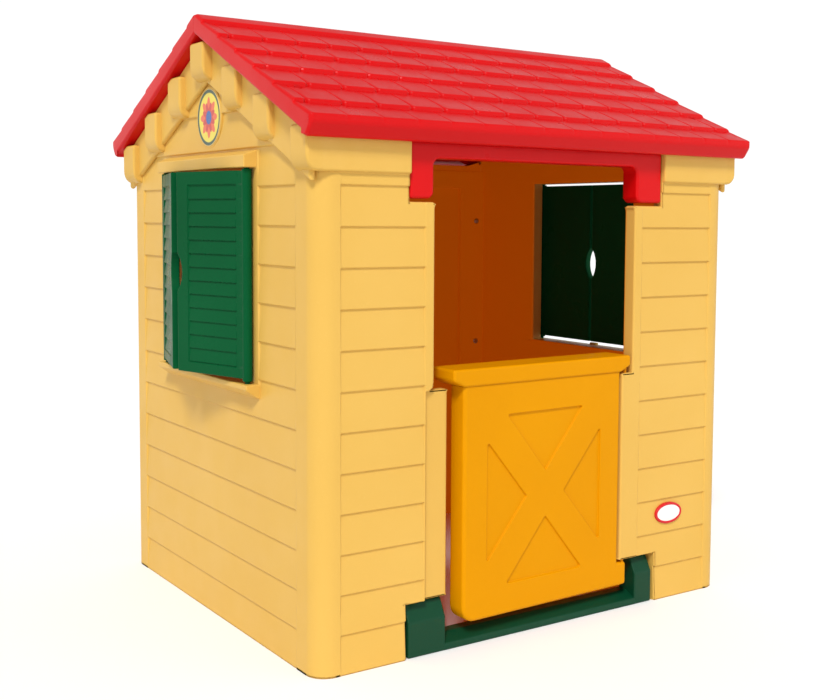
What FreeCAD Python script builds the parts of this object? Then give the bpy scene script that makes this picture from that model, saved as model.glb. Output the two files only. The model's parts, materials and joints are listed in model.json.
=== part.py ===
"""Toddler playhouse in moulded plastic: walls, roof, half door and window shutters.

Frame: X runs along the front (door) wall, Y runs into the house, Z is up.
The origin is on the ground at the centre of the door threshold's underside.
All sizes are in millimetres.
"""
import FreeCAD
import Part
import math
import os

V = FreeCAD.Vector

# House envelope
HALF_WIDTH = 485.0            # centre line to the outer face of a gable wall
FRONT_Y = -25.0               # outer face of the front wall
DEPTH = 877.0                 # front face to back face
BACK_Y = FRONT_Y + DEPTH
MID_Y = FRONT_Y + DEPTH / 2
WALL = 30.0                   # thickness of a double-skinned wall panel
CORNER_RADIUS = 38.0
WALL_TOP = 925.0              # top of the front and back walls, under the eaves

# Roof
RIDGE_Z = 1170.0
ROOF_HALF_LENGTH = 515.0      # along X
EAVE_RUN = 477.0              # ridge to the eave edge, along Y
RIDGE_FLAT = 6.0
SLOPE = 0.462                 # rise over run
ROOF_DROP = 38.0              # vertical thickness of a roof panel
EAVE_DROP = 36.0              # height of the fascia
EAVE_FACE = 14.0              # height of its vertical part, above the part that slopes inwards
EAVE_INSET = 16.0             # the fascia's lower edge is set back by this much
EAVE_LIP = 9.0                # thickness of the fascia's lower edge
EAVE_DRAFT = 6.0              # how far its inner face slopes up to the underside
COURSE_LIPS = [477.0, 416.0, 340.0, 264.0, 188.0, 112.0, 36.0]
SHINGLE_STEP = 7.0            # how far a course's lower lip stands above the next course
SEAM = 0.25                   # half the gap where two panels meet

# Clapboard siding
BOARD = 70.0                  # height of one board
BOARD_STEP = 4.0              # how far each board's lower lip stands out
POST_SIDE = 74.0              # plain corner post, seen on the gable walls
POST_FRONT = 46.0             # plain corner post, seen on the front and back walls
BAND_Z = 862.0                # underside of the band along the top of the front wall
BAND_PROUD = 6.0
ROOT = 5.0                    # how far trim is sunk into the wall that it stands on
PAST = 1.0                    # how far a cutting shape reaches past the surface it cuts

# Doorway
OPEN_EDGE = {-1: 250.0, 1: 226.0}    # centre line to each jamb, above the shoulder
SILL_EDGE = {-1: 215.0, 1: 199.0}    # centre line to each jamb, below the shoulder
SHOULDER_Z = 480.0
STRIP_EDGE = {-1: 268.0, 1: 246.0}   # outer edge of the plain strip beside the door
REBATE_DEPTH = 10.0           # the strip on the latch side is recessed below the shoulder
FOOT_NOTCH_Z = 100.0          # the wall is notched below this height for the threshold
NOTCH_EDGE = {-1: 306.0, 1: 297.0}   # outer edge of the notch
CORBEL_OUTER = 301.0
CORBEL_Z = 814.0
CORBEL_CORNER = 12.0          # the wall's corner under a corbel is cut by this much

# Window in each gable wall
WINDOW_HALF = 183.0
WINDOW_LOW = 482.0
WINDOW_HIGH = 874.0
HEAD_HALF = 212.0
SILL_BLOCK_HALF = 217.0
BLOCK_PROUD = 25.0
HEAD_TOP = 906.0              # where the head moulding meets the wall; it falls to its front edge
HEAD_FALL = 9.0
SILL_BOTTOM = 455.0           # where the sill moulding meets the wall; it rises to its front edge
SILL_RISE = 17.0
SILL_NUB = (22.0, 10.0, 5.0)  # length, depth and height of the stop nub at the middle of the sill

# Shutters
HINGE_OUT = 12.0              # hinge axis outside the wall's face
HINGE_HALF = 196.0            # hinge axis from the window's centre line
ROLL_RADIUS = 9.0
NUB_RADIUS = 5.0
NUB_LENGTH = 9.0              # how far a nub reaches into its socket
SOCKET_DEPTH = 12.0
FIT = 0.1                     # radial clearance of a pin in its hole
SHUTTER_WIDTH = 192.5         # hinge axis to the free edge
SHUTTER_THICK = 16.0
SHUTTER_LOW = 491.0
SHUTTER_HIGH = 869.0
ROLL_LOW = 486.0
ROLL_HIGH = 872.0
AJAR = 16.0                   # both left shutters stand ajar by this angle
LOUVRES = 13
LOUVRE_DEPTH = 3.0
LOUVRE_NOSE = 0.4             # depth of its cut at the lower edge
LOUVRE_LINE = 1.0             # plain line between two slats
LOUVRE_STILE = 22.0           # plain margin beside the louvres on the hinge side
LOUVRE_EDGE = 34.0            # plain margin at the free edge
LOUVRE_RAIL = (34.0, 26.0)    # plain margin below and above the louvres
FINGER_HALF = 36.0            # half the height of the finger cut-out
FINGER_RISE = 14.0

# Gable trim
TAIL_WIDTH = 64.0
TAIL_PROUD = 20.0
RIDGE_TAIL_PROUD = 26.0       # the tail under the ridge stands out further
TAIL_HEIGHT = 89.0
TAIL_PITCH = 134.0
TAIL_CURL = 26.0              # height over which a tail's foot curves back to the wall
TAIL_KNEE = (0.6, 0.3)        # share of the depth and of that height at the knee of the curve
TAIL_PEAK = 14.0              # a tail's flat top meets the roof this far down the slope from its middle
CORNER_TAIL_Y = 31.0          # rear face of the tail that caps the front corner
BARGE_PROUD = 7.0
BARGE_SHORT = 8.0             # the boards stop this far before the corners
EMBLEM_Z = 976.0
EMBLEM_RADIUS = 55.0
EMBLEM_THICK = 1.0
EMBLEM_RIM = 4.0              # margin of the flat pad round the disc
ROOF_GAP = 0.5                # between the walls' tops and the roof's underside

# Door
DOOR_AXIS_X = 212.0
DOOR_AXIS_Y = FRONT_Y + 8.0
DOOR_FRONT = FRONT_Y + 2.0    # front face with the door shut
DOOR_THICK = 45.0
DOOR_LEFT = -193.0
DOOR_RIGHT = 196.0
DOOR_LOW = 47.0
DOOR_FOOT_TOP = 95.0
DOOR_FOOT_RIGHT = 220.0
DOOR_CORNER = 28.0
DOOR_AJAR = 2.0
SHELF_LEFT = -219.0
SHELF_RIGHT = 220.0
SHELF_LOW = 483.0
SHELF_THICK = 33.0
SHELF_DEPTH = 73.0
SHELF_FRONT = FRONT_Y - 2.0
SHELF_LIP = 12.0              # the slopes under its ends are cut in the part before the door's face
SHELF_CHAMFER = (26.0, 12.0)  # length and height of the slope under each end of the shelf
PIN_RADIUS = 3.5
PIN_HEAD_RADIUS = 4.7
PIN_HEAD = 3.0
PIN_REACH = 25.0              # depth of a hinge pin in the wall
PIN_SINK = 2.0                # how deep a pin's head lies below the surface
PIN_ROOM = 0.3                # clearance round and under a pin's head
PANEL_DEPTH = 3.0             # depth of the triangles pressed into the door's face
PANEL_X = 2.0                 # centre of the crossed planks
PANEL_HALF = 141.0            # half the width of the field that the planks cross
PLANK_SIDE = 46.0             # from the centre of the cross to the triangles at its sides
PLANK_TOP = 44.0              # and to the triangles above and below it
PANEL_Z = (105.0, 425.0)      # bottom and top of the crossed planks

# Threshold
STEP_FRONT = FRONT_Y + 3.0
STEP_BACK = FRONT_Y + 52.0
STEP_LEFT = -300.0
STEP_LEFT_IN = -220.0
STEP_RIGHT_IN = 245.0
STEP_RIGHT = 291.0
STEP_FACE_Z = 64.0
STEP_TOP_Z = 97.0
STEP_SLOPE = 18.0
BAR_FACE_Z = 13.0
BAR_TOP_Z = 26.0
BAR_SLOPE = 26.0
STEP_BACK_EDGE = (6.0, 12.0)  # depth and height of the slope at the blocks' rear
TONGUE = 44.0                 # how far hidden flanges reach behind the walls
TONGUE_TOP = 60.0
LOOSE = 0.5                   # play between the walls and a flange behind them

# Header over the doorway
BEAM_LOW = 891.0
BEAM_TOP = 922.0
CORBEL_INNER = {-1: 250.0, 1: 232.0}
CORBEL_FOOT = 820.0           # underside of the corbels, clear of the walls' shoulders
CORBEL_BEVEL = 8.0            # cut off the lower inner corner of a corbel
HEADER_FLANGE = (350.0, 828.0)       # half length and underside of the hidden flange
HEADER_FRONT = FRONT_Y + 3.0
HEADER_BACK = FRONT_Y + WALL + 16.0

# Back wall
FLANGE = 12.0                 # thickness of its hidden rim
LAP = 30.0                    # how far the rim reaches over the panel's edge
RIM_TOP = (15.0, 60.0)        # the rim's upper part lies this far below the wall's top
BACK_STILE = 12.0             # plain strip at each end of its boards

# Fasteners
SCREW_RADIUS = 3.0
SCREW_HEAD_RADIUS = 7.0
SCREW_HEAD = 3.0
BACK_SCREW_X = 430.0
BACK_SCREW_Z = (150.0, 460.0, 780.0)
BACK_SCREW_LENGTH = 30.0
HEADER_SCREW_X = 330.0
HEADER_SCREW_Z = (848.0, 904.0)
HEADER_SCREW_LENGTH = 34.0
STEP_SCREW_X = 322.0
STEP_SCREW_Z = 30.0
STEP_SCREW_LENGTH = 40.0
ROOF_SCREW_X = 470.0
ROOF_SCREW_RUN = 347.0        # from the ridge
ROOF_SCREW_SINK = 16.0        # depth of the seat under a screw's head
ROOF_SCREW_LENGTH = 55.0
HEAD_ROOM = 0.3               # clearance round a roof screw's head
HEAD_WELL = 40.0              # how far up the head's bore is cut

# Blank badge
BADGE_X = 333.0
BADGE_Z = 180.0
BADGE_HALF_LENGTH = 37.0
BADGE_HALF_HEIGHT = 22.0
BADGE_PROUD = 3.0


def box(low, high):
    """A box between two corners."""
    size = [b - a for a, b in zip(low, high)]
    return Part.makeBox(size[0], size[1], size[2], V(*low))


def prism_x(points, x_low, x_high):
    """A polygon of (y, z) points carried along X."""
    wire = Part.makePolygon([V(x_low, y, z) for y, z in points + points[:1]])
    return Part.Face(wire).extrude(V(x_high - x_low, 0, 0))


def prism_y(points, y_low, y_high):
    """A polygon of (x, z) points carried along Y."""
    wire = Part.makePolygon([V(x, y_low, z) for x, z in points + points[:1]])
    return Part.Face(wire).extrude(V(0, y_high - y_low, 0))


def rod(start, end, radius):
    """A round bar between two points."""
    a = V(*start)
    along = V(*end) - a
    return Part.makeCylinder(radius, along.Length, a, along)


def mirror_x(shape):
    """The same shape on the other side of the house."""
    return shape.mirror(V(0, 0, 0), V(1, 0, 0))


def mirror_y(shape):
    """The same shape at the other end of a gable wall."""
    return shape.mirror(V(0, MID_Y, 0), V(0, 1, 0))


def fuse(shapes):
    """One solid from several that touch."""
    return shapes[0].multiFuse(shapes[1:]).removeSplitter()


def turn(shape, x, y, angle):
    """Turn a shape about a vertical axis."""
    moved = shape.copy()
    moved.rotate(V(x, y, 0), V(0, 0, 1), angle)
    return moved


def roof_top(run):
    """Height of the roof's nominal top surface at a run from the ridge."""
    return RIDGE_Z - max(0.0, run - RIDGE_FLAT) * SLOPE


def roof_under(run):
    """Height of the roof's underside at a run from the ridge."""
    return RIDGE_Z - ROOF_DROP - run * SLOPE


# ---------------------------------------------------------------- walls

def corner_cut():
    """What is taken off the front left corner to round it."""
    block = box((-HALF_WIDTH - 1, FRONT_Y - 1, -1),
                (-HALF_WIDTH + CORNER_RADIUS, FRONT_Y + CORNER_RADIUS, RIDGE_Z))
    post = Part.makeCylinder(CORNER_RADIUS, RIDGE_Z + 2,
                             V(-HALF_WIDTH + CORNER_RADIUS, FRONT_Y + CORNER_RADIUS, -1))
    return block.cut(post)


def side_boards():
    """Wedges that turn the left wall's outer face into clapboard."""
    face = -HALF_WIDTH
    wedges = []
    for number in range(math.ceil(RIDGE_Z / BOARD)):
        low = number * BOARD
        high = low + BOARD
        points = [(face - 1, low), (face, low), (face + BOARD_STEP, high), (face - 1, high)]
        wedges.append(prism_y(points, FRONT_Y + POST_SIDE, BACK_Y - POST_SIDE))
    frame = box((face - 2, MID_Y - SILL_BLOCK_HALF, SILL_BOTTOM - 1),
                (face + 10, MID_Y + SILL_BLOCK_HALF, HEAD_TOP + 1))
    run = DEPTH / 2
    low_edge = [(MID_Y - run, roof_under(run) - TAIL_HEIGHT), (MID_Y, roof_under(0) - TAIL_HEIGHT),
                (MID_Y + run, roof_under(run) - TAIL_HEIGHT), (MID_Y + run, RIDGE_Z), (MID_Y - run, RIDGE_Z)]
    barge = prism_x(low_edge, face - 2, face + 10)
    pad = rod((face - 2, MID_Y, EMBLEM_Z), (face + 10, MID_Y, EMBLEM_Z), EMBLEM_RADIUS + EMBLEM_RIM)
    return Part.makeCompound(wedges).cut(frame).cut(barge).cut(pad)


def flat_boards(y_face, outward, x_low, x_high):
    """Wedges that turn a wall into clapboard from one X to another; outward is -1 or 1 along Y."""
    wedges = []
    for number in range(math.ceil(BAND_Z / BOARD)):
        low = number * BOARD
        high = min(low + BOARD, BAND_Z)
        depth = BOARD_STEP * (high - low) / BOARD
        points = [(y_face + outward, low), (y_face, low),
                  (y_face - outward * depth, high), (y_face + outward, high)]
        wedges.append(prism_x(points, x_low, x_high))
    return Part.makeCompound(wedges)


def rafter_tail(y_low, y_high, low, top, proud, root=ROOT):
    """One rafter tail of the gable trim, its foot curled back to the wall."""
    face = -HALF_WIDTH
    out, up = TAIL_KNEE
    points = [(face + root, low), (face, low), (face - proud * out, low + TAIL_CURL * up),
              (face - proud, low + TAIL_CURL), (face - proud, top), (face + root, top)]
    return prism_y(points, y_low, y_high)


def rafter_tails():
    """The left gable's tails, cut off under the slopes of the roof."""
    half = TAIL_WIDTH / 2
    ridge_top = roof_under(half) - ROOF_GAP
    ridge_low = roof_under(0) - TAIL_HEIGHT
    tails = [rafter_tail(MID_Y - half, MID_Y + half, ridge_low, ridge_top, RIDGE_TAIL_PROUD)]
    for number in (1, 2, 3):
        run = number * TAIL_PITCH
        low = roof_under(run) - TAIL_HEIGHT
        top = roof_under(run + TAIL_PEAK) - ROOF_GAP
        root = ROOT if number < 3 else WALL
        tails.append(rafter_tail(MID_Y + run - half, MID_Y + run + half, low, top, TAIL_PROUD, root))
        if number < 3:
            tails.append(rafter_tail(MID_Y - run - half, MID_Y - run + half, low, top, TAIL_PROUD))
    tails.append(rafter_tail(FRONT_Y - BAND_PROUD, CORNER_TAIL_Y, BAND_Z, top, TAIL_PROUD, WALL))
    run = DEPTH / 2 + WALL
    above = [(MID_Y - run, roof_under(run) - ROOF_GAP), (MID_Y, roof_under(0) - ROOF_GAP),
             (MID_Y + run, roof_under(run) - ROOF_GAP), (MID_Y + run, RIDGE_Z), (MID_Y - run, RIDGE_Z)]
    roof = prism_x(above, -HALF_WIDTH - WALL, -HALF_WIDTH + WALL)
    return [tail.cut(roof) for tail in tails]


def bargeboard():
    """The boards along the left gable's slopes, behind the tails."""
    run = DEPTH / 2 - BARGE_SHORT
    feet = [(-run, TAIL_HEIGHT), (0, TAIL_HEIGHT), (run, TAIL_HEIGHT)]
    heads = [(run, ROOF_GAP), (0, ROOF_GAP), (-run, ROOF_GAP)]
    outline = [(MID_Y + y, roof_under(abs(y)) - drop) for y, drop in feet + heads]
    return prism_x(outline, -HALF_WIDTH - BARGE_PROUD, -HALF_WIDTH + ROOT)


def window_blocks():
    """Head and sill mouldings of the left window."""
    face = -HALF_WIDTH
    front = face - BLOCK_PROUD
    upper = [(face + ROOT, WINDOW_HIGH), (front, WINDOW_HIGH), (front, HEAD_TOP - HEAD_FALL),
             (face, HEAD_TOP), (face + ROOT, HEAD_TOP)]
    lower = [(face + ROOT, SILL_BOTTOM), (face, SILL_BOTTOM), (front, SILL_BOTTOM + SILL_RISE),
             (front, WINDOW_LOW), (face + ROOT, WINDOW_LOW)]
    head = prism_y(upper, MID_Y - HEAD_HALF, MID_Y + HEAD_HALF)
    sill = prism_y(lower, MID_Y - SILL_BLOCK_HALF, MID_Y + SILL_BLOCK_HALF)
    long, deep, tall = SILL_NUB
    nub = box((front + 1, MID_Y - long / 2, WINDOW_LOW - 1),
              (front + 1 + deep, MID_Y + long / 2, WINDOW_LOW + tall))
    return [head, sill, nub]


def front_return(side):
    """The part of a wall that turns the corner and reaches the doorway, built on the left."""
    jamb, sill, notch = -OPEN_EDGE[side], -SILL_EDGE[side], -NOTCH_EDGE[side]
    outline = [(-HALF_WIDTH, 0), (notch, 0), (notch, FOOT_NOTCH_Z), (sill, FOOT_NOTCH_Z),
               (sill, SHOULDER_Z), (jamb, SHOULDER_Z), (jamb, CORBEL_Z - CORBEL_CORNER),
               (jamb - CORBEL_CORNER, CORBEL_Z), (-CORBEL_OUTER, CORBEL_Z), (-CORBEL_OUTER, WALL_TOP),
               (-HALF_WIDTH, WALL_TOP)]
    panel = prism_y(outline, FRONT_Y, FRONT_Y + WALL)
    panel = panel.cut(flat_boards(FRONT_Y, -1, -HALF_WIDTH + POST_FRONT, -STRIP_EDGE[side]))
    rebate = box((-STRIP_EDGE[side], FRONT_Y - 1, -1), (sill + 1, FRONT_Y + REBATE_DEPTH, SHOULDER_Z))
    return panel.cut(rebate) if side < 0 else panel


def corner_band():
    """The band along the top of the front wall, from the corner's tail to the doorway."""
    return box((-HALF_WIDTH, FRONT_Y - BAND_PROUD, BAND_Z), (-CORBEL_OUTER, FRONT_Y + ROOT, WALL_TOP))


def gable_wall(side):
    """A side's wall with its front and rear returns and its holes, built on the left."""
    run = DEPTH / 2
    outline = [(FRONT_Y, 0), (BACK_Y, 0), (BACK_Y, roof_under(run) - ROOF_GAP),
               (MID_Y, roof_under(0) - ROOF_GAP), (FRONT_Y, roof_under(run) - ROOF_GAP)]
    plate = prism_x(outline, -HALF_WIDTH, -HALF_WIDTH + WALL)
    opening = box((-HALF_WIDTH - 40, MID_Y - WINDOW_HALF, WINDOW_LOW),
                  (-HALF_WIDTH + WALL + 1, MID_Y + WINDOW_HALF, WINDOW_HIGH))
    rear = box((-HALF_WIDTH, BACK_Y - WALL, 0), (-HALF_WIDTH + POST_SIDE, BACK_Y, WALL_TOP))
    wall = fuse([plate.cut(side_boards()), front_return(side), rear])
    wall = wall.cut(corner_cut()).cut(mirror_y(corner_cut()))
    trim = rafter_tails() + [bargeboard(), corner_band()] + window_blocks()
    wall = fuse([wall] + trim).cut(opening)
    x = -HALF_WIDTH - HINGE_OUT
    radius = NUB_RADIUS + FIT
    holes = screw_holes_left()
    for end in (-1, 1):
        y = MID_Y + end * HINGE_HALF
        holes.append(rod((x, y, WINDOW_LOW - SOCKET_DEPTH), (x, y, WINDOW_LOW + PAST), radius))
        holes.append(rod((x, y, WINDOW_HIGH - PAST), (x, y, WINDOW_HIGH + SOCKET_DEPTH), radius))
    return wall.cut(Part.makeCompound(holes))


def screw(start, direction, length):
    """A screw with a flat head; start is under the head, direction points into the work."""
    way = V(*direction)
    way.normalize()
    shank = Part.makeCylinder(SCREW_RADIUS, length, V(*start), way)
    head = Part.makeCylinder(SCREW_HEAD_RADIUS, SCREW_HEAD, V(*start) - way * SCREW_HEAD, way)
    return shank.fuse(head)


def hole_for(start, direction, length):
    """The hole that a screw's shank fills."""
    way = V(*direction)
    way.normalize()
    return Part.makeCylinder(SCREW_RADIUS, length, V(*start), way)


BACK_SCREWS = [((side * BACK_SCREW_X, BACK_Y - WALL - FLANGE, z), (0, 1, 0), BACK_SCREW_LENGTH)
               for side in (-1, 1) for z in BACK_SCREW_Z]
HEADER_SCREWS = [((side * HEADER_SCREW_X, HEADER_BACK, z), (0, -1, 0), HEADER_SCREW_LENGTH)
                 for side in (-1, 1) for z in HEADER_SCREW_Z]
THRESHOLD_SCREWS = [((side * STEP_SCREW_X, STEP_BACK, STEP_SCREW_Z), (0, -1, 0), STEP_SCREW_LENGTH)
                    for side in (-1, 1)]


def screw_holes_left():
    """Holes in the left wall for the screws that enter it."""
    entries = BACK_SCREWS + HEADER_SCREWS + THRESHOLD_SCREWS
    holes = [hole_for(*entry) for entry in entries if entry[0][0] < 0]
    for side in (-1, 1):
        holes.append(hole_for(*roof_screw_place(-1, side)))
    return holes


def roof_screw_place(side_x, side_y):
    """Start, direction and length of one roof screw, driven straight down into a gable wall."""
    seat = roof_top(ROOF_SCREW_RUN) - ROOF_SCREW_SINK
    place = (side_x * ROOF_SCREW_X, MID_Y + side_y * ROOF_SCREW_RUN, seat)
    return place, (0, 0, -1), ROOF_SCREW_LENGTH


def back_wall():
    """The rear panel, lapped inside the gable walls' rear returns."""
    half = HALF_WIDTH - POST_SIDE - SEAM
    panel = box((-half, BACK_Y - WALL, 0), (half, BACK_Y, WALL_TOP))
    panel = panel.cut(flat_boards(BACK_Y, 1, -half + BACK_STILE, half - BACK_STILE))
    wide = HALF_WIDTH - WALL - 1
    rim_top, rim_low = WALL_TOP - RIM_TOP[0], WALL_TOP - RIM_TOP[1]
    flange = box((-wide, BACK_Y - WALL - FLANGE, 0), (wide, BACK_Y - WALL, rim_top))
    clear = box((-half + LAP, BACK_Y - WALL - FLANGE - PAST, -PAST), (half - LAP, BACK_Y - WALL, rim_low))
    wall = panel.fuse(flange.cut(clear)).removeSplitter()
    return wall.cut(Part.makeCompound([hole_for(*entry) for entry in BACK_SCREWS]))


# ---------------------------------------------------------------- roof

def roof_front_panel():
    """The half of the roof over the door."""
    edge = roof_top(EAVE_RUN)
    lip = EAVE_RUN - EAVE_INSET
    inside = lip - EAVE_LIP
    under = inside - EAVE_DRAFT
    outline = [(-SEAM, RIDGE_Z), (-RIDGE_FLAT, RIDGE_Z), (-EAVE_RUN, edge), (-EAVE_RUN, edge - EAVE_FACE),
               (-lip, edge - EAVE_DROP), (-inside, edge - EAVE_DROP),
               (-under, roof_under(under)), (-SEAM, roof_under(0))]
    slab = prism_x([(MID_Y + y, z) for y, z in outline], -ROOF_HALF_LENGTH, ROOF_HALF_LENGTH)
    steps = []
    for lower, upper in zip(COURSE_LIPS, COURSE_LIPS[1:]):
        points = [(MID_Y - lower, roof_top(lower) + 1), (MID_Y - lower, roof_top(lower)),
                  (MID_Y - upper, roof_top(upper) - SHINGLE_STEP), (MID_Y - upper, roof_top(upper) + 1)]
        steps.append(prism_x(points, -ROOF_HALF_LENGTH - 1, ROOF_HALF_LENGTH + 1))
    slab = slab.cut(Part.makeCompound(steps))
    holes = []
    for side in (-1, 1):
        start, way, length = roof_screw_place(side, -1)
        x, y, z = start
        holes.append(hole_for(start, way, length))
        holes.append(rod((x, y, z), (x, y, z + HEAD_WELL), SCREW_HEAD_RADIUS + HEAD_ROOM))
    return slab.cut(Part.makeCompound(holes))


# ---------------------------------------------------------------- doorway

def door_header():
    """Lintel with a corbel at each end, and a flange behind the walls."""
    reach = CORBEL_OUTER - 1
    pieces = [box((-reach, HEADER_FRONT, BEAM_LOW), (reach, HEADER_BACK, BEAM_TOP))]
    for side in (-1, 1):
        inner, outer = side * CORBEL_INNER[side], side * reach
        outline = [(outer, CORBEL_FOOT), (inner + side * CORBEL_BEVEL, CORBEL_FOOT),
                   (inner, CORBEL_FOOT + CORBEL_BEVEL), (inner, BEAM_LOW + 1), (outer, BEAM_LOW + 1)]
        pieces.append(prism_y(outline, HEADER_FRONT, HEADER_BACK))
    long, low = HEADER_FLANGE
    flange = box((-long, FRONT_Y + WALL + LOOSE, low), (long, HEADER_BACK, BEAM_TOP))
    window = box((-CORBEL_INNER[-1], FRONT_Y + WALL, low - 1), (CORBEL_INNER[1], HEADER_BACK + 1, BEAM_LOW))
    header = fuse(pieces + [flange.cut(window)])
    return header.cut(Part.makeCompound([hole_for(*entry) for entry in HEADER_SCREWS]))


def threshold():
    """Foot rail across the doorway, with a block at each end in the walls' notches."""
    back_in, back_down = STEP_BACK_EDGE
    block = [(STEP_FRONT, 0), (STEP_BACK, 0), (STEP_BACK, STEP_TOP_Z - back_down),
             (STEP_BACK - back_in, STEP_TOP_Z), (STEP_FRONT + STEP_SLOPE, STEP_TOP_Z),
             (STEP_FRONT, STEP_FACE_Z)]
    bar = [(STEP_FRONT, 0), (STEP_BACK, 0), (STEP_BACK, BAR_TOP_Z), (STEP_FRONT + BAR_SLOPE, BAR_TOP_Z),
           (STEP_FRONT, BAR_FACE_Z)]
    behind = FRONT_Y + WALL + LOOSE
    tongues = [box((STEP_LEFT - TONGUE, behind, 0), (STEP_LEFT + ROOT, STEP_BACK, TONGUE_TOP)),
               box((STEP_RIGHT - ROOT, behind, 0), (-STEP_LEFT + TONGUE, STEP_BACK, TONGUE_TOP))]
    rail = prism_x(bar, STEP_LEFT_IN - ROOT, STEP_RIGHT_IN + ROOT)
    ends = [prism_x(block, STEP_LEFT, STEP_LEFT_IN), prism_x(block, STEP_RIGHT_IN, STEP_RIGHT)]
    piece = fuse([rail] + ends + tongues)
    return piece.cut(Part.makeCompound([hole_for(*entry) for entry in THRESHOLD_SCREWS]))


def right_wall():
    """The right wall carries the hinge pins and the badge."""
    wall = mirror_x(gable_wall(1))
    axis = (DOOR_AXIS_X, DOOR_AXIS_Y)
    upper = rod(axis + (SHOULDER_Z - PIN_REACH,), axis + (SHOULDER_Z + 1,), PIN_RADIUS)
    lower = rod(axis + (FOOT_NOTCH_Z - 1,), axis + (FOOT_NOTCH_Z + PIN_REACH,), PIN_RADIUS)
    return wall.cut(upper).cut(lower).cut(badge())


def door_pins():
    """Upper and lower hinge pins, headed, fixed in the right wall."""
    x, y = DOOR_AXIS_X, DOOR_AXIS_Y
    top = SHELF_LOW + SHELF_THICK - PIN_SINK
    low = DOOR_LOW + PIN_SINK
    upper = rod((x, y, SHOULDER_Z - PIN_REACH), (x, y, top), PIN_RADIUS)
    upper = upper.fuse(rod((x, y, top - PIN_HEAD), (x, y, top), PIN_HEAD_RADIUS))
    lower = rod((x, y, low), (x, y, FOOT_NOTCH_Z + PIN_REACH), PIN_RADIUS)
    lower = lower.fuse(rod((x, y, low), (x, y, low + PIN_HEAD), PIN_HEAD_RADIUS))
    return Part.makeCompound([upper, lower])


def pin_bores():
    """Running holes for the hinge pins, with counterbores for their heads."""
    x, y = DOOR_AXIS_X, DOOR_AXIS_Y
    top = SHELF_LOW + SHELF_THICK
    low = DOOR_LOW
    shaft = rod((x, y, low - 1), (x, y, top + 1), PIN_RADIUS + FIT)
    depth = PIN_SINK + PIN_HEAD + PIN_ROOM
    upper = rod((x, y, top - depth), (x, y, top + 1), PIN_HEAD_RADIUS + PIN_ROOM)
    lower = rod((x, y, low - 1), (x, y, low + depth), PIN_HEAD_RADIUS + PIN_ROOM)
    return Part.makeCompound([shaft, upper, lower])


def door_triangles():
    """Four triangles pressed into the door's face, which leave crossed planks standing."""
    low, high = PANEL_Z
    middle = (low + high) / 2
    tall = (high - low) / 2
    wide, slim = PANEL_HALF, PLANK_SIDE
    shapes = [[(wide - slim, tall), (0, PLANK_TOP), (slim - wide, tall)],
              [(wide - slim, -tall), (0, -PLANK_TOP), (slim - wide, -tall)],
              [(-wide, tall - slim), (-slim, 0), (-wide, slim - tall)],
              [(wide, tall - slim), (slim, 0), (wide, slim - tall)]]
    cuts = [prism_y([(PANEL_X + a, middle + b) for a, b in shape], DOOR_FRONT - 1, DOOR_FRONT + PANEL_DEPTH)
            for shape in shapes]
    return Part.makeCompound(cuts)


def door_panel():
    """The door's slab, shut; a foot at the lower right reaches the lower pin."""
    back = DOOR_FRONT + DOOR_THICK
    slab = box((DOOR_LEFT, DOOR_FRONT, DOOR_LOW), (DOOR_RIGHT, back, SHELF_LOW))
    foot = box((DOOR_RIGHT - 1, DOOR_FRONT, DOOR_LOW), (DOOR_FOOT_RIGHT, back, DOOR_FOOT_TOP))
    block = box((DOOR_LEFT - 1, DOOR_FRONT - 1, DOOR_LOW - 1),
                (DOOR_LEFT + DOOR_CORNER, back + 1, DOOR_LOW + DOOR_CORNER))
    core = rod((DOOR_LEFT + DOOR_CORNER, DOOR_FRONT - 2, DOOR_LOW + DOOR_CORNER),
               (DOOR_LEFT + DOOR_CORNER, back + 2, DOOR_LOW + DOOR_CORNER), DOOR_CORNER)
    panel = slab.fuse(foot).removeSplitter().cut(block.cut(core))
    return panel.cut(door_triangles()).cut(pin_bores())


def door_shelf():
    """The ledge on top of the door, rounded at the hinge end to clear the jamb."""
    back = SHELF_FRONT + SHELF_DEPTH
    ledge = box((SHELF_LEFT, SHELF_FRONT, SHELF_LOW), (SHELF_RIGHT, back, SHELF_LOW + SHELF_THICK))
    radius = SHELF_RIGHT - DOOR_AXIS_X
    corner = box((DOOR_AXIS_X, SHELF_FRONT - 1, SHELF_LOW - 1),
                 (SHELF_RIGHT + 1, DOOR_AXIS_Y, SHELF_LOW + SHELF_THICK + 1))
    keep = rod((DOOR_AXIS_X, DOOR_AXIS_Y, SHELF_LOW - 2),
               (DOOR_AXIS_X, DOOR_AXIS_Y, SHELF_LOW + SHELF_THICK + 2), radius)
    long, tall = SHELF_CHAMFER
    slopes = []
    for end, way in ((SHELF_LEFT, 1), (SHELF_RIGHT, -1)):
        points = [(end - way, SHELF_LOW - 1), (end + way * long, SHELF_LOW - 1),
                  (end + way * long, SHELF_LOW), (end, SHELF_LOW + tall), (end - way, SHELF_LOW + tall)]
        slopes.append(prism_y(points, SHELF_FRONT - 1, SHELF_FRONT + SHELF_LIP))
    ledge = ledge.cut(Part.makeCompound(slopes))
    return ledge.cut(corner.cut(keep)).cut(pin_bores())


# ---------------------------------------------------------------- shutters

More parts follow.
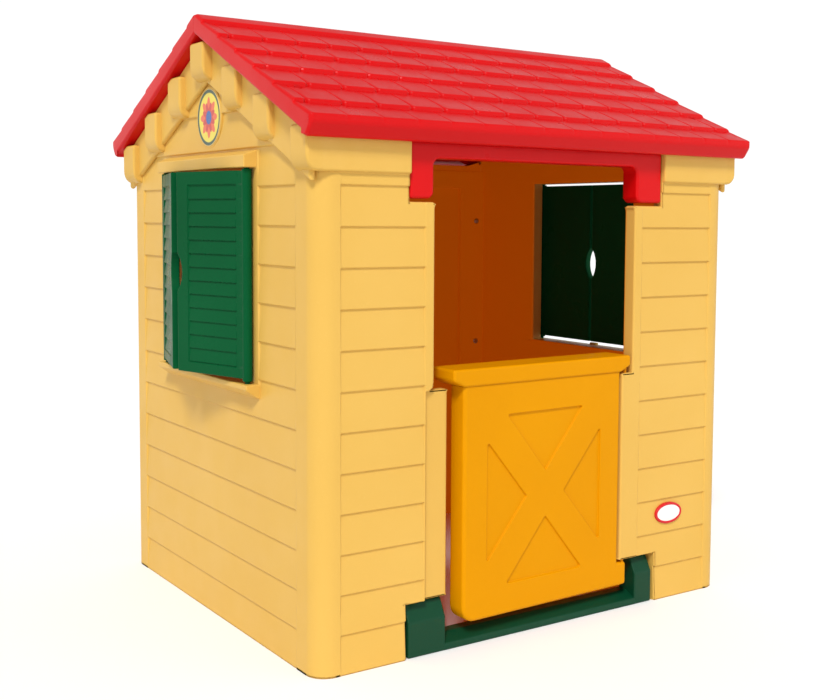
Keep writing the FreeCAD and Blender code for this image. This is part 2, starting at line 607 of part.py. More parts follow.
def shutter():
    """The left front shutter, shut: panel, hinge roll with nubs, louvres and a finger cut-out."""
    x = -HALF_WIDTH - HINGE_OUT
    y = MID_Y - HINGE_HALF
    outer = x - SHUTTER_THICK / 2
    inner = x + SHUTTER_THICK / 2
    panel = box((outer, y, SHUTTER_LOW), (inner, y + SHUTTER_WIDTH, SHUTTER_HIGH))
    roll = rod((x, y, ROLL_LOW), (x, y, ROLL_HIGH), ROLL_RADIUS)
    nub = rod((x, y, WINDOW_LOW - NUB_LENGTH), (x, y, WINDOW_HIGH + NUB_LENGTH), NUB_RADIUS)
    radius = (FINGER_HALF ** 2 + FINGER_RISE ** 2) / (2 * FINGER_RISE)
    middle = (SHUTTER_LOW + SHUTTER_HIGH) / 2
    reach = y + SHUTTER_WIDTH - FINGER_RISE + radius
    finger = rod((outer - 2, reach, middle), (inner + 2, reach, middle), radius)
    field_low, field_high = SHUTTER_LOW + LOUVRE_RAIL[0], SHUTTER_HIGH - LOUVRE_RAIL[1]
    pitch = (field_high - field_low) / LOUVRES
    slats = []
    for number in range(LOUVRES):
        low = field_low + number * pitch
        points = [(outer - PAST, low + LOUVRE_LINE), (outer + LOUVRE_NOSE, low + LOUVRE_LINE),
                  (outer + LOUVRE_DEPTH, low + pitch), (outer - PAST, low + pitch)]
        slats.append(prism_y(points, y + LOUVRE_STILE, y + SHUTTER_WIDTH - LOUVRE_EDGE))
    return fuse([panel, roll, nub]).cut(finger).cut(Part.makeCompound(slats))


def shutters():
    """All four shutters at rest: the left pair ajar, the right pair shut."""
    front = shutter()
    rear = mirror_y(front)
    x = -HALF_WIDTH - HINGE_OUT
    return {
        "left_front_shutter": turn(front, x, MID_Y - HINGE_HALF, AJAR),
        "left_rear_shutter": turn(rear, x, MID_Y + HINGE_HALF, -AJAR),
        "right_front_shutter": mirror_x(front),
        "right_rear_shutter": mirror_x(rear),
    }


# ---------------------------------------------------------------- trim

def rosette(side):
    """Round printed disc on the gable."""
    back, front = side * HALF_WIDTH, side * (HALF_WIDTH + EMBLEM_THICK)
    return rod((back, MID_Y, EMBLEM_Z), (front, MID_Y, EMBLEM_Z), EMBLEM_RADIUS)


def badge():
    """Blank oval plate, let into the front wall's sloping board."""
    middle = Part.Ellipse(V(0, 0, 0), BADGE_HALF_LENGTH, BADGE_HALF_HEIGHT)
    face = Part.Face(Part.Wire([middle.toShape()]))
    face.rotate(V(0, 0, 0), V(1, 0, 0), 90)
    face.translate(V(BADGE_X, FRONT_Y + BOARD_STEP + 1, BADGE_Z))
    return face.extrude(V(0, -BOARD_STEP - 1 - BADGE_PROUD, 0))


def write(name, shape):
    """Write one node, and say how large it is."""
    shape.exportStep("parts/%s.step" % name)
    state = "valid" if shape.isValid() else "NOT VALID"
    print("%-22s %d solid(s) %8.0f cm3 %s" % (name, len(shape.Solids), shape.Volume / 1000, state))


def main():
    os.makedirs("parts", exist_ok=True)
    roof = roof_front_panel()
    nodes = {
        "left_gable_wall": gable_wall(-1),
        "right_gable_wall": right_wall(),
        "back_wall": back_wall(),
        "roof_front_panel": roof,
        "roof_rear_panel": mirror_y(roof),
        "door_header": door_header(),
        "threshold": threshold(),
        "door_panel": turn(door_panel(), DOOR_AXIS_X, DOOR_AXIS_Y, DOOR_AJAR),
        "door_shelf": turn(door_shelf(), DOOR_AXIS_X, DOOR_AXIS_Y, DOOR_AJAR),
        "door_hinge_pins": door_pins(),
        "left_rosette": rosette(-1),
        "right_rosette": rosette(1),
        "front_badge": badge(),
        "back_wall_screws": Part.makeCompound([screw(*entry) for entry in BACK_SCREWS]),
        "header_screws": Part.makeCompound([screw(*entry) for entry in HEADER_SCREWS]),
        "threshold_screws": Part.makeCompound([screw(*entry) for entry in THRESHOLD_SCREWS]),
        "roof_screws": Part.makeCompound([screw(*roof_screw_place(a, b)) for a in (-1, 1) for b in (-1, 1)]),
    }
    nodes.update(shutters())
    for name, shape in nodes.items():
        write(name, shape)


main()
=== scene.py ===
"""Looks of the toddler playhouse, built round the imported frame.

Everything is in metres in the row frame: X along the front wall, Y into the house, Z up.
Each wall and shutter is a skin: a sheet of cells, laid over an outer and an inner surface.
"""
import json
import math

import bmesh
import bpy
import numpy as np
from mathutils import Matrix, Vector


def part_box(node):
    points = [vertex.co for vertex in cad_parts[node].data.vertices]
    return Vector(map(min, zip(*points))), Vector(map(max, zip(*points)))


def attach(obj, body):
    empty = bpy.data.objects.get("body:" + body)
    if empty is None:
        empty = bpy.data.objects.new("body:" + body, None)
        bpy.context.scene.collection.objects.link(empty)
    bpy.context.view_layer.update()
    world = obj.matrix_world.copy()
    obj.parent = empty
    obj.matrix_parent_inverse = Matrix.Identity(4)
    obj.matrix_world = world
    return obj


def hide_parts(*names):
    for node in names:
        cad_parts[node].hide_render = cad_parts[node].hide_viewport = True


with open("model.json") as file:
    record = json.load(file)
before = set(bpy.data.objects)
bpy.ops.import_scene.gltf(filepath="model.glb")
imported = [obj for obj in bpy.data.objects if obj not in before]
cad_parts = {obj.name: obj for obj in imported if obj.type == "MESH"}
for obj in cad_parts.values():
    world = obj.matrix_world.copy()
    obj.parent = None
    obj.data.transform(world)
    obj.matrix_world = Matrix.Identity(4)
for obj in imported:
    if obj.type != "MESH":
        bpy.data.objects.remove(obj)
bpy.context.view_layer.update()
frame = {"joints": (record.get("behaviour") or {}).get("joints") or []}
joints = {joint["name"]: joint for joint in frame["joints"]}

MM = 0.001

# House envelope, from the frame
BLOCK_PROUD = 25 * MM  # window head and sill
RIDGE_PROUD = 26 * MM  # the tail under the ridge, the outermost part of a gable wall
BAND_PROUD = 6 * MM  # band along the top of the front wall
WALL_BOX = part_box("left_gable_wall")
HALF_WIDTH = -WALL_BOX[0].x - RIDGE_PROUD
FRONT_Y = WALL_BOX[0].y + BAND_PROUD
BACK_Y = WALL_BOX[1].y
MID_Y = (FRONT_Y + BACK_Y) / 2
WALL = 30 * MM
WALL_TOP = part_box("back_wall")[1].z
CORNER = 38 * MM  # radius of the house's upright corners
ARC = CORNER * math.pi / 2

# Roof
ROOF_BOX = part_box("roof_front_panel")
RIDGE_Z = ROOF_BOX[1].z
ROOF_HALF = ROOF_BOX[1].x
EAVE_RUN = MID_Y - ROOF_BOX[0].y
RIDGE_FLAT = 6 * MM
SLOPE = 0.462
ROOF_DROP = 38 * MM
ROOF_GAP = 0.5 * MM
COURSES = [EAVE_RUN] + [(416 - 76 * n) * MM for n in range(6)]
LIP = 7 * MM  # how far a course stands above the next
TILES = 15  # tiles along one course

# Clapboard
BOARD = 70 * MM
STEP = 4 * MM
LIP_ROUND = 3 * MM
SOFT = 2.5 * MM  # length over which a relief's edge fades out
POST_SIDE = 74 * MM
POST_FRONT = 46 * MM
BAND_Z = 862 * MM

# Doorway
OPEN_EDGE = {-1: 250 * MM, 1: 226 * MM}  # centre line to each jamb above the shoulder
SILL_EDGE = {-1: 215 * MM, 1: 199 * MM}  # and below it
SHOULDER_Z = 480 * MM
STRIP_EDGE = {-1: 268 * MM, 1: 246 * MM}  # outer edge of the plain strip beside the door
REBATE = 10 * MM
REBATE_CORNER = 15 * MM
FOOT_NOTCH_Z = 100 * MM
NOTCH_EDGE = {-1: 306 * MM, 1: 297 * MM}
CORBEL_OUTER = 301 * MM
CORBEL_Z = 814 * MM
BEHIND_WALL = FRONT_Y + WALL + 0.5 * MM  # where the hidden flanges begin

# Windows and gable trim
WINDOW_HALF = 183 * MM
WINDOW_LOW = 482 * MM
WINDOW_HIGH = 874 * MM
HEAD_HALF = 212 * MM
SILL_BLOCK_HALF = 217 * MM
SILL_BOTTOM = 455 * MM
SILL_RISE = 17 * MM
HEAD_TOP = 906 * MM
HEAD_FALL = 9 * MM
TAIL_WIDTH = 64 * MM
TAIL_PROUD = 20 * MM
TAIL_HEIGHT = 89 * MM
TAIL_PITCH = 134 * MM
TAIL_CURL = 26 * MM
TAIL_PEAK = 14 * MM  # a tail's flat top meets the roof this far down the slope
CORNER_TAIL_Y = 31 * MM
TAIL_EDGE = 5 * MM
BARGE_PROUD = 7 * MM
TRIM_ROOT = 5 * MM  # how deep trim reaches into the wall


def roof_top(run):
    """Height of the roof's nominal top surface at a run from the ridge."""
    return RIDGE_Z - np.maximum(0.0, run - RIDGE_FLAT) * SLOPE


def roof_under(run):
    """Height of the roof's underside at a run from the ridge."""
    return RIDGE_Z - ROOF_DROP - run * SLOPE


# -------- materials

def rgb(red, green, blue):
    """Linear colour from 0-255 screen values."""
    def linear(value):
        value = value / 255
        return value / 12.92 if value <= 0.04045 else ((value + 0.055) / 1.055) ** 2.4
    return (linear(red), linear(green), linear(blue), 1.0)


MIX_FACTOR, MIX_A, MIX_B, MIX_RESULT = 0, 6, 7, 2     # a colour Mix node's sockets


class Paint:
    """The nodes of a material or world in the making."""

    def __init__(self, owner, shader="Principled BSDF", coordinates="Object"):
        owner.use_nodes = True
        self.owner = owner
        self.tree = owner.node_tree
        self.shader = self.tree.nodes[shader].inputs
        self.place = self.tree.nodes.new("ShaderNodeTexCoord").outputs[coordinates]

    def feed(self, socket, value):
        """Link another node's output to a socket, or set the socket to a number or colour."""
        if isinstance(value, bpy.types.NodeSocket):
            self.tree.links.new(value, socket)
        else:
            socket.default_value = value

    def coat(self, name, value):
        """Feed one of the shader's own sockets."""
        self.feed(self.shader[name], value)

    def node(self, kind, inputs, **settings):
        """A new node with some of its inputs fed."""
        node = self.tree.nodes.new(kind)
        for setting, value in settings.items():
            setattr(node, setting, value)
        for key, value in inputs:
            self.feed(node.inputs[key], value)
        return node

    def noise(self, scale, detail=3.0):
        """A noise texture's value."""
        inputs = {"Vector": self.place, "Scale": scale, "Detail": detail}
        return self.node("ShaderNodeTexNoise", inputs.items()).outputs["Fac"]

    def axes(self):
        """The coordinates one by one."""
        return self.node("ShaderNodeSeparateXYZ", [("Vector", self.place)]).outputs

    def spread(self, value, low, high, out_low, out_high):
        """A value mapped from one range to another."""
        names = ("Value", "From Min", "From Max", "To Min", "To Max")
        inputs = zip(names, (value, low, high, out_low, out_high))
        return self.node("ShaderNodeMapRange", inputs).outputs["Result"]

    def blend(self, factor, a, b):
        """One colour faded into another."""
        inputs = [(MIX_FACTOR, factor), (MIX_A, a), (MIX_B, b)]
        return self.node("ShaderNodeMix", inputs, data_type="RGBA").outputs[MIX_RESULT]

    def math(self, operation, *values):
        """A math node on sockets and numbers."""
        return self.node("ShaderNodeMath", enumerate(values), operation=operation).outputs[0]

    def grain(self, scale, depth):
        """Fine moulding grain with a slow waviness, as a bump."""
        fine, wavy = self.noise(scale, 2.0), self.noise(22.0, 1.0)
        height = self.math("ADD", fine, self.math("MULTIPLY", wavy, 3.0))
        inputs = {"Strength": 0.35, "Distance": depth, "Height": height}
        self.coat("Normal", self.node("ShaderNodeBump", inputs.items()).outputs["Normal"])


def plastic(name, colour, shade, rubbed, roughness, shine=0.3, painted_glow=False):
    """Moulded polyethylene: slow colour drift, specks of pigment, rubbed edges and fine grain.

    With painted_glow, the faces inside the house get a painted darker, warmer tone for the shade indoors and
    a faint painted orange glow standing in for the daylight that shines through thin walls.
    """
    colour, shade, rubbed = (rgb(*values) for values in (colour, shade, rubbed))
    paint = Paint(bpy.data.materials.new(name))
    body = paint.blend(paint.spread(paint.noise(3.5), 0.3, 0.7, 0.0, 1.0), colour, shade)
    body = paint.blend(paint.spread(paint.noise(260.0, 2.0), 0.62, 0.75, 0.0, 0.12), body, rubbed)
    pointed = paint.node("ShaderNodeNewGeometry", []).outputs["Pointiness"]
    edge = paint.spread(pointed, 0.53, 0.66, 0.0, 0.22)
    patch = paint.spread(paint.noise(30.0), 0.4, 0.65, 0.3, 1.0)
    body = paint.blend(paint.math("MULTIPLY", edge, patch), body, rubbed)
    if painted_glow:
        # Painted light: faces deeper than the wall's skin are tinted a darker warm orange (painted indoor
        # shade) and given a faint orange emission (painted daylight through the walls).
        axes, depth = paint.axes(), 0.8 * WALL
        across = paint.math("SUBTRACT", HALF_WIDTH - depth, paint.math("ABSOLUTE", axes["X"]))
        ahead = paint.math("SUBTRACT", axes["Y"], FRONT_Y + depth)
        behind = paint.math("SUBTRACT", BACK_Y - depth, axes["Y"])
        nearest = paint.math("MINIMUM", across, paint.math("MINIMUM", ahead, behind))
        within = paint.spread(nearest, 0.0, 4 * MM, 0.0, 1.0)
        body = paint.blend(within, body, rgb(196, 118, 14))
        paint.coat("Emission Color", paint.blend(within, rgb(0, 0, 0), rgb(255, 118, 0)))
        paint.coat("Emission Strength", 0.15)
    paint.coat("Base Color", body)
    paint.coat("Roughness", paint.spread(paint.noise(14.0), 0.3, 0.7, roughness - 0.05, roughness + 0.07))
    paint.coat("Specular IOR Level", shine)
    paint.grain(700.0, 0.25 * MM)
    return paint.owner


def steel(name):
    """Zinc-plated screw steel with turning marks."""
    paint = Paint(bpy.data.materials.new(name))
    tone = paint.noise(400.0)
    paint.coat("Base Color", paint.blend(tone, rgb(150, 152, 155), rgb(196, 197, 198)))
    paint.coat("Metallic", 1.0)
    paint.coat("Roughness", paint.spread(tone, 0.2, 0.8, 0.25, 0.45))
    paint.grain(2500.0, 0.05 * MM)
    return paint.owner


def flower_print(name):
    """A plain eight-petalled flower printed on a disc, with a green ring round it."""
    paint = Paint(bpy.data.materials.new(name))
    axes = paint.axes()
    low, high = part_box("left_rosette")
    across = paint.math("SUBTRACT", axes["Y"], (low.y + high.y) / 2)
    up = paint.math("SUBTRACT", axes["Z"], (low.z + high.z) / 2)
    squares = [paint.math("MULTIPLY", value, value) for value in (across, up)]
    reach = paint.math("SQRT", paint.math("ADD", *squares))
    radius = paint.math("DIVIDE", reach, (high.z - low.z) / 2)
    angle = paint.math("ARCTAN2", across, up)
    wave = paint.math("COSINE", paint.math("MULTIPLY", angle, 8.0))
    petals = paint.math("ADD", paint.math("MULTIPLY", wave, 0.13), 0.60)
    between = paint.math("ADD", paint.math("MULTIPLY", wave, -0.12), 0.44)
    picture = rgb(228, 196, 112)
    for limit, colour in ((0.985, (8, 62, 30)), (0.87, (226, 204, 52)), (petals, (222, 92, 44)),
                          (between, (196, 40, 24)), (0.25, (14, 84, 156))):
        mask = paint.spread(paint.math("SUBTRACT", limit, radius), 0.0, 0.02, 0.0, 1.0)
        picture = paint.blend(mask, picture, rgb(*colour))
    ink = paint.spread(paint.noise(900.0), 0.35, 0.75, 0.0, 0.10)
    paint.coat("Base Color", paint.blend(ink, picture, rgb(255, 250, 236)))
    paint.coat("Roughness", paint.spread(paint.noise(60.0), 0.3, 0.7, 0.28, 0.36))
    paint.grain(900.0, 0.05 * MM)
    return paint.owner


def floor_material():
    """Pale matt studio floor with a barely visible drift in tone."""
    paint = Paint(bpy.data.materials.new("studio_floor"))
    tone = paint.noise(1.2)
    paint.coat("Base Color", paint.blend(tone, rgb(253, 253, 253), rgb(250, 250, 250)))
    paint.coat("Roughness", paint.spread(tone, 0.2, 0.8, 0.75, 0.9))
    return paint.owner


# Name, colour, its darker drift, its rubbed tone, roughness and specular level
YELLOW = plastic("wall_polyethylene", (216, 173, 84), (212, 168, 78), (228, 192, 112), 0.42, 0.16, painted_glow=True)
RED = plastic("roof_polyethylene", (206, 8, 12), (199, 6, 10), (216, 36, 36), 0.32, 0.15)
ORANGE = plastic("door_polyethylene", (214, 143, 0), (209, 138, 0), (226, 158, 10), 0.38, 0.05)
GREEN = plastic("green_polyethylene", (6, 82, 44), (4, 75, 39), (18, 94, 58), 0.30, 0.04)
RAIL = plastic("foot_rail_polyethylene", (6, 62, 38), (4, 57, 34), (26, 84, 60), 0.34, 0.2)
PIN = plastic("pin_plastic", (208, 132, 0), (200, 126, 0), (220, 150, 14), 0.4, 0.06)
BADGE_RIM = plastic("badge_rim_plastic", (205, 28, 36), (196, 24, 32), (224, 80, 80), 0.3)
BADGE_FACE = plastic("badge_face_plastic", (236, 234, 228), (230, 228, 221), (246, 245, 242), 0.3)
STEEL = steel("screw_steel")
PRINT = flower_print("flower_print")


# -------- mesh tools

def lines(low, high, gap, *groups):
    """Sorted grid lines from low to high with the groups' values among them and no gap over gap."""
    wanted = sorted([low, high] + [value for group in groups for value in group if low < value < high])
    kept = [wanted[0]]
    for value in wanted[1:]:
        if value - kept[-1] > 0.2 * MM:
            parts = max(1, math.ceil((value - kept[-1]) / gap - 0.01))
            start = kept[-1]
            kept += [start + (value - start) * n / parts for n in range(1, parts + 1)]
    return kept


def fade(value, low, high, soft=SOFT):
    """1 between low and high, fading to 0 over soft inside each end."""
    return np.clip((value - low) / soft, 0, 1) * np.clip((high - value) / soft, 0, 1)


def around(*edges, soft=SOFT):
    """Grid lines that carry a fade at each edge, inwards and outwards."""
    return [edge + soft * part for edge in edges for part in (-1, -0.5, 0, 0.5, 1)]


def board_rows(top, height=BOARD, lip=LIP_ROUND):
    """Grid lines of a stack of boards: close together over each rounded lip."""
    rows = []
    for number in range(math.ceil(top / height)):
        rows += [number * height + lip * part for part in (0, 0.08, 0.27, 0.55, 1.0)]
    return rows


def board_relief(z, height=BOARD, step=STEP, lip=LIP_ROUND):
    """Depth of a stack of boards, each leaning back from its rounded lower lip."""
    rise = np.mod(z, height)
    lean = -step * rise / height
    curve = np.sqrt(1 - (1 - np.clip(rise / lip, 0, 1)) ** 2)
    return np.where(rise < lip, -step + (step - step * lip / height) * curve, lean)


def round_corner(u, v, corner, way, radius):
    """Bend the cells at an outline's outer corner into an arc; way points inwards."""
    cu, cv = corner[0] + way[0] * radius, corner[1] + way[1] * radius
    a, b = (cu - u) * way[0], (cv - v) * way[1]
    near = (a > 0) & (b > 0) & (a <= radius * 1.001) & (b <= radius * 1.001)
    scale = np.where(near, np.maximum(a, b) / np.maximum(np.hypot(a, b), 1e-9), 1.0)
    return np.where(near, cu - a * scale * way[0], u), np.where(near, cv - b * scale * way[1], v)


def round_edges(bm, edges, radius, segments=3, clamp=False):
    """Round some edges of a solid."""
    bmesh.ops.bevel(bm, geom=edges, offset=radius, offset_type="OFFSET", segments=segments, profile=0.5,
                    affect="EDGES", clamp_overlap=clamp)


def skin(cols, rows, keep, place, slants=(), bevel=0.0, bevel_where=None):
    """A closed solid from a sheet of cells. place(u, v) gives the outer and the inner points."""
    sheet = bmesh.new()
    grid = [[sheet.verts.new((u, v, 0)) for v in rows] for u in cols]
    for i in range(len(cols) - 1):
        for j in range(len(rows) - 1):
            if keep((cols[i] + cols[i + 1]) / 2, (rows[j] + rows[j + 1]) / 2):
                sheet.faces.new((grid[i][j], grid[i + 1][j], grid[i + 1][j + 1], grid[i][j + 1]))
    bmesh.ops.delete(sheet, geom=[v for v in sheet.verts if not v.link_faces], context="VERTS")
    for point, normal, chosen in slants:
        point, normal = Vector(point), Vector(normal)
        faces = [f for f in sheet.faces if chosen(f.calc_center_median())]
        parts = set(faces)
        for face in faces:
            parts.update(face.edges)
            parts.update(face.verts)
        bmesh.ops.bisect_plane(sheet, geom=list(parts), plane_co=point, plane_no=normal, dist=1e-6)
        above = [f for f in sheet.faces if chosen(f.calc_center_median())
                 and (f.calc_center_median() - point).dot(normal) > 0]
        bmesh.ops.delete(sheet, geom=above, context="FACES")
    sheet.verts.index_update()
    flat = np.array([v.co for v in sheet.verts], float)
    outer, inner = place(flat[:, 0], flat[:, 1])
    solid = bmesh.new()
    front = [solid.verts.new(p) for p in outer]
    back = [solid.verts.new(p) for p in inner]
    for face in sheet.faces:
        order = [v.index for v in face.verts]
        solid.faces.new([front[n] for n in order])
        solid.faces.new([back[n] for n in reversed(order)])
    rim = []
    for edge in sheet.edges:
        if len(edge.link_faces) == 1:
            a, b = (v.index for v in edge.verts)
            solid.faces.new((front[a], front[b], back[b], back[a]))
            middle = (edge.verts[0].co + edge.verts[1].co) / 2
            if bevel and (bevel_where is None or bevel_where(middle.x, middle.y)):
                rim += [(front[a], front[b]), (back[a], back[b])]
    bmesh.ops.recalc_face_normals(solid, faces=solid.faces)
    if rim:
        round_edges(solid, [solid.edges.get(pair) for pair in rim], bevel)
    sheet.free()
    return solid


def loft(rings):
    """A closed solid through rings of points, all of the same length."""
    bm = bmesh.new()
    loops = [[bm.verts.new(point) for point in ring] for ring in rings]
    count = len(loops[0])
    for lower, upper in zip(loops, loops[1:]):
        for n in range(count):
            m = (n + 1) % count
            bm.faces.new((lower[n], lower[m], upper[m], upper[n]))
    bm.faces.new(loops[0])
    bm.faces.new(loops[-1])
    bmesh.ops.recalc_face_normals(bm, faces=bm.faces)
    return bm


def stacked(rings, axis):
    """A loft through outlines across an axis: [(place along the axis, points), ...]."""
    slot = "xyz".index(axis)
    return loft([[(*pair[:slot], level, *pair[slot:]) for pair in points] for level, points in rings])


def prism(points, axis, low, high, bevel=0.0, segments=3, limit=28):
    """An outline carried along an axis, with its sharp edges rounded."""
    bm = stacked([(low, points), (high, points)], axis)
    if bevel:
        sharp = [edge for edge in bm.edges if edge.calc_face_angle(0) > math.radians(limit)]
        round_edges(bm, sharp, bevel, segments, True)
    return bm


def block(low, high, bevel, segments=3):
    """A box with rounded edges."""
    outline = [(low[0], low[2]), (high[0], low[2]), (high[0], high[2]), (low[0], high[2])]
    return prism(outline, "y", low[1], high[1], bevel, segments)


def arc(centre, radius, start, end, count):
    """Points along an arc, angles in degrees."""
    turns = [math.radians(start + (end - start) * n / count) for n in range(count + 1)]
    return [(centre[0] + radius * math.cos(t), centre[1] + radius * math.sin(t)) for t in turns]


def in_mm(pairs, u=0.0, v=0.0):
    """Points in metres round (u, v), from pairs in millimetres."""
    return [(u + a * MM, v + b * MM) for a, b in pairs]


def aimed(point, direction):
    """The transform that puts a solid built upwards from the origin at a point, along a direction."""
    turn = Vector((0, 0, 1)).rotation_difference(Vector(direction)).to_matrix().to_4x4()
    return Matrix.Translation(point) @ turn


def lathe(profile, centre, direction, count=48):
    """A profile of (radius, height) turned about an axis."""
    bm = bmesh.new()
    rings = []
    turns = [2 * math.pi * n / count for n in range(count)]
    for radius, height in profile:
        if radius < 1e-7:
            rings.append([bm.verts.new((0, 0, height))])
        else:
            rings.append([bm.verts.new((radius * math.cos(t), radius * math.sin(t), height)) for t in turns])
    for lower, upper in zip(rings, rings[1:]):
        for n in range(count):
            m = (n + 1) % count
            corners = [ring[k % len(ring)] for ring, k in ((lower, n), (lower, m), (upper, m), (upper, n))]
            bm.faces.new(list(dict.fromkeys(corners)))
    for ring in (rings[0], rings[-1]):
        if len(ring) > 1:
            bm.faces.new(ring)
    bmesh.ops.recalc_face_normals(bm, faces=bm.faces)
    bmesh.ops.transform(bm, matrix=aimed(centre, direction), verts=bm.verts)
    return bm


def rounded_rod(radius, low, high, edge):
    """Lathe profile of a round bar with rounded ends."""
    bottom = [(radius - edge + edge * math.sin(t), low + edge - edge * math.cos(t))
              for t in (0, math.pi / 6, math.pi / 3, math.pi / 2)]
    top = [(r, low + high - z) for r, z in reversed(bottom)]
    return [(0.0, low)] + bottom + top + [(0.0, high)]


def rounded_outline(points, radius, offset=0.0, count=5):
    """A convex outline with round corners, grown or shrunk by an offset; points run anticlockwise."""
    inner = []
    for n in range(len(points)):
        before, here, after = (Vector(points[(n + k) % len(points)]) for k in (-1, 0, 1))
        one, two = (here - before).normalized(), (after - here).normalized()
        in_one, in_two = Vector((-one.y, one.x)), Vector((-two.y, two.x))
        bisector = (in_one + in_two).normalized()
        inner.append((here + bisector * radius / bisector.dot(in_one), -in_one, -in_two))
    size = radius + offset
    result = []
    for centre, one, two in inner:
        start = math.atan2(one.y, one.x)
        swing = (math.atan2(two.y, two.x) - start) % (2 * math.pi)
        for n in range(count + 1):
            t = start + swing * n / count
            result.append((centre.x + size * math.cos(t), centre.y + size * math.sin(t)))
    return result


def to_mesh(bm, name="part"):
    """A mesh from a bmesh, which is freed."""
    mesh = bpy.data.meshes.new(name)
    bm.to_mesh(mesh)
    bm.free()
    return mesh


def in_scene(name, data):
    """A new object, linked to the scene."""
    thing = bpy.data.objects.new(name, data)
    bpy.context.scene.collection.objects.link(thing)
    return thing


def boolean(base, tools, operation):
    """Unite a solid with others, or cut them out of it."""
    target = in_scene("base", to_mesh(base))
    helpers = []
    for bm in tools:
        helper = in_scene("tool", to_mesh(bm))
        modifier = target.modifiers.new("cut", "BOOLEAN")
        modifier.operation = operation
        modifier.solver = "MANIFOLD"
        modifier.object = helper
        helpers.append(helper)
    evaluated = target.evaluated_get(bpy.context.evaluated_depsgraph_get())
    result = bmesh.new()
    result.from_mesh(evaluated.to_mesh())
    evaluated.to_mesh_clear()
    for thing in helpers + [target]:
        mesh = thing.data
        bpy.data.objects.remove(thing)
        bpy.data.meshes.remove(mesh)
    return result


def joined(parts):
    """Several separate solids in one bmesh."""
    result = bmesh.new()
    for bm in parts:
        mesh = to_mesh(bm)
        result.from_mesh(mesh)
        bpy.data.meshes.remove(mesh)
    return result


def mirrored(bm, axis, about=0.0):
    """The same solid on the other side of a plane across an axis."""
    scale = [1, 1, 1]
    scale["xyz".index(axis)] = -1
    shift = [0, 0, 0]
    shift["xyz".index(axis)] = 2 * about
    bmesh.ops.transform(bm, matrix=Matrix.Translation(shift) @ Matrix.Diagonal(scale + [1]), verts=bm.verts)
    bmesh.ops.reverse_faces(bm, faces=bm.faces)
    return bm


def turned(bm, x, y, degrees):
    """The solid turned about an upright axis."""
    there = Matrix.Translation((x, y, 0))
    spin = Matrix.Rotation(math.radians(degrees), 4, "Z")
    bmesh.ops.transform(bm, matrix=there @ spin @ there.inverted(), verts=bm.verts)
    return bm


def piece(name, bm, body, slot, materials, *nodes, sharp=40):
    """A finished piece that rides on a body and stands for CAD nodes."""
    for face in bm.faces:
        face.smooth = True
    for edge in bm.edges:
        edge.smooth = edge.calc_face_angle(0) < math.radians(sharp)
    thing = in_scene(name, to_mesh(bm, name))
    for material in materials:
        thing.data.materials.append(material)
    weighted = thing.modifiers.new("even_shading", "WEIGHTED_NORMAL")
    weighted.keep_sharp = True
    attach(thing, body)
    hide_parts(*nodes)
    return thing


# -------- gable walls

S_FRONT = FRONT_Y + CORNER - ARC      # unrolled place where the front return begins
S_BACK = BACK_Y - CORNER + ARC        # unrolled place where the rear return begins


def unrolled(distance):
    """Place along the unrolled wall of a point on the front return, by its distance from x = 0."""
    return S_FRONT - (HALF_WIDTH - CORNER - distance)


def front_reach(s):
    """The distance from x = 0 of a place along the front return."""
    return HALF_WIDTH - CORNER - (S_FRONT - s)


def wall_path(s):
    """Plan points and outward normals of the left wall's outline, unrolled round its corners."""
    a = np.clip((s - S_FRONT) / CORNER, 0, math.pi / 2)
    b = np.clip((s - (BACK_Y - CORNER)) / CORNER, 0, math.pi / 2)
    nx = -np.sin(a) * np.cos(b)
    ny = np.where(s < MID_Y, -np.cos(a), np.sin(b))
    x = -HALF_WIDTH + CORNER + CORNER * nx + np.clip(S_FRONT - s, 0, None) + np.clip(s - S_BACK, 0, None)
    return x, np.clip(s, FRONT_Y + CORNER, BACK_Y - CORNER) + CORNER * ny, nx, ny


def wall_relief(s, z, side):
    """How far the left wall's outer face stands out from its outline."""
    gable = fade(s, FRONT_Y + POST_SIDE, BACK_Y - POST_SIDE)
    window = fade(s, MID_Y - SILL_BLOCK_HALF, MID_Y + SILL_BLOCK_HALF) * fade(z, SILL_BOTTOM, HEAD_TOP)
    reach = front_reach(s)
    strip = STRIP_EDGE[side]
    front = fade(reach, strip, HALF_WIDTH - POST_FRONT) * np.clip((BAND_Z - z) / SOFT, 0, 1)
    relief = board_relief(z) * (gable * (1 - window) + front * (s < S_FRONT))
    if side < 0:
        inside = np.minimum(SHOULDER_Z - z, strip - reach)
        a, b = reach - OPEN_EDGE[side] - REBATE_CORNER, z - SHOULDER_Z - REBATE_CORNER
        outside = np.hypot(a, b) - REBATE_CORNER
        inside = np.maximum(inside, np.where((a < 0) & (b < 0), outside, -1.0))
        relief = relief - REBATE * np.clip(inside / (3 * MM), 0, 1) * (s < S_FRONT)
    return relief


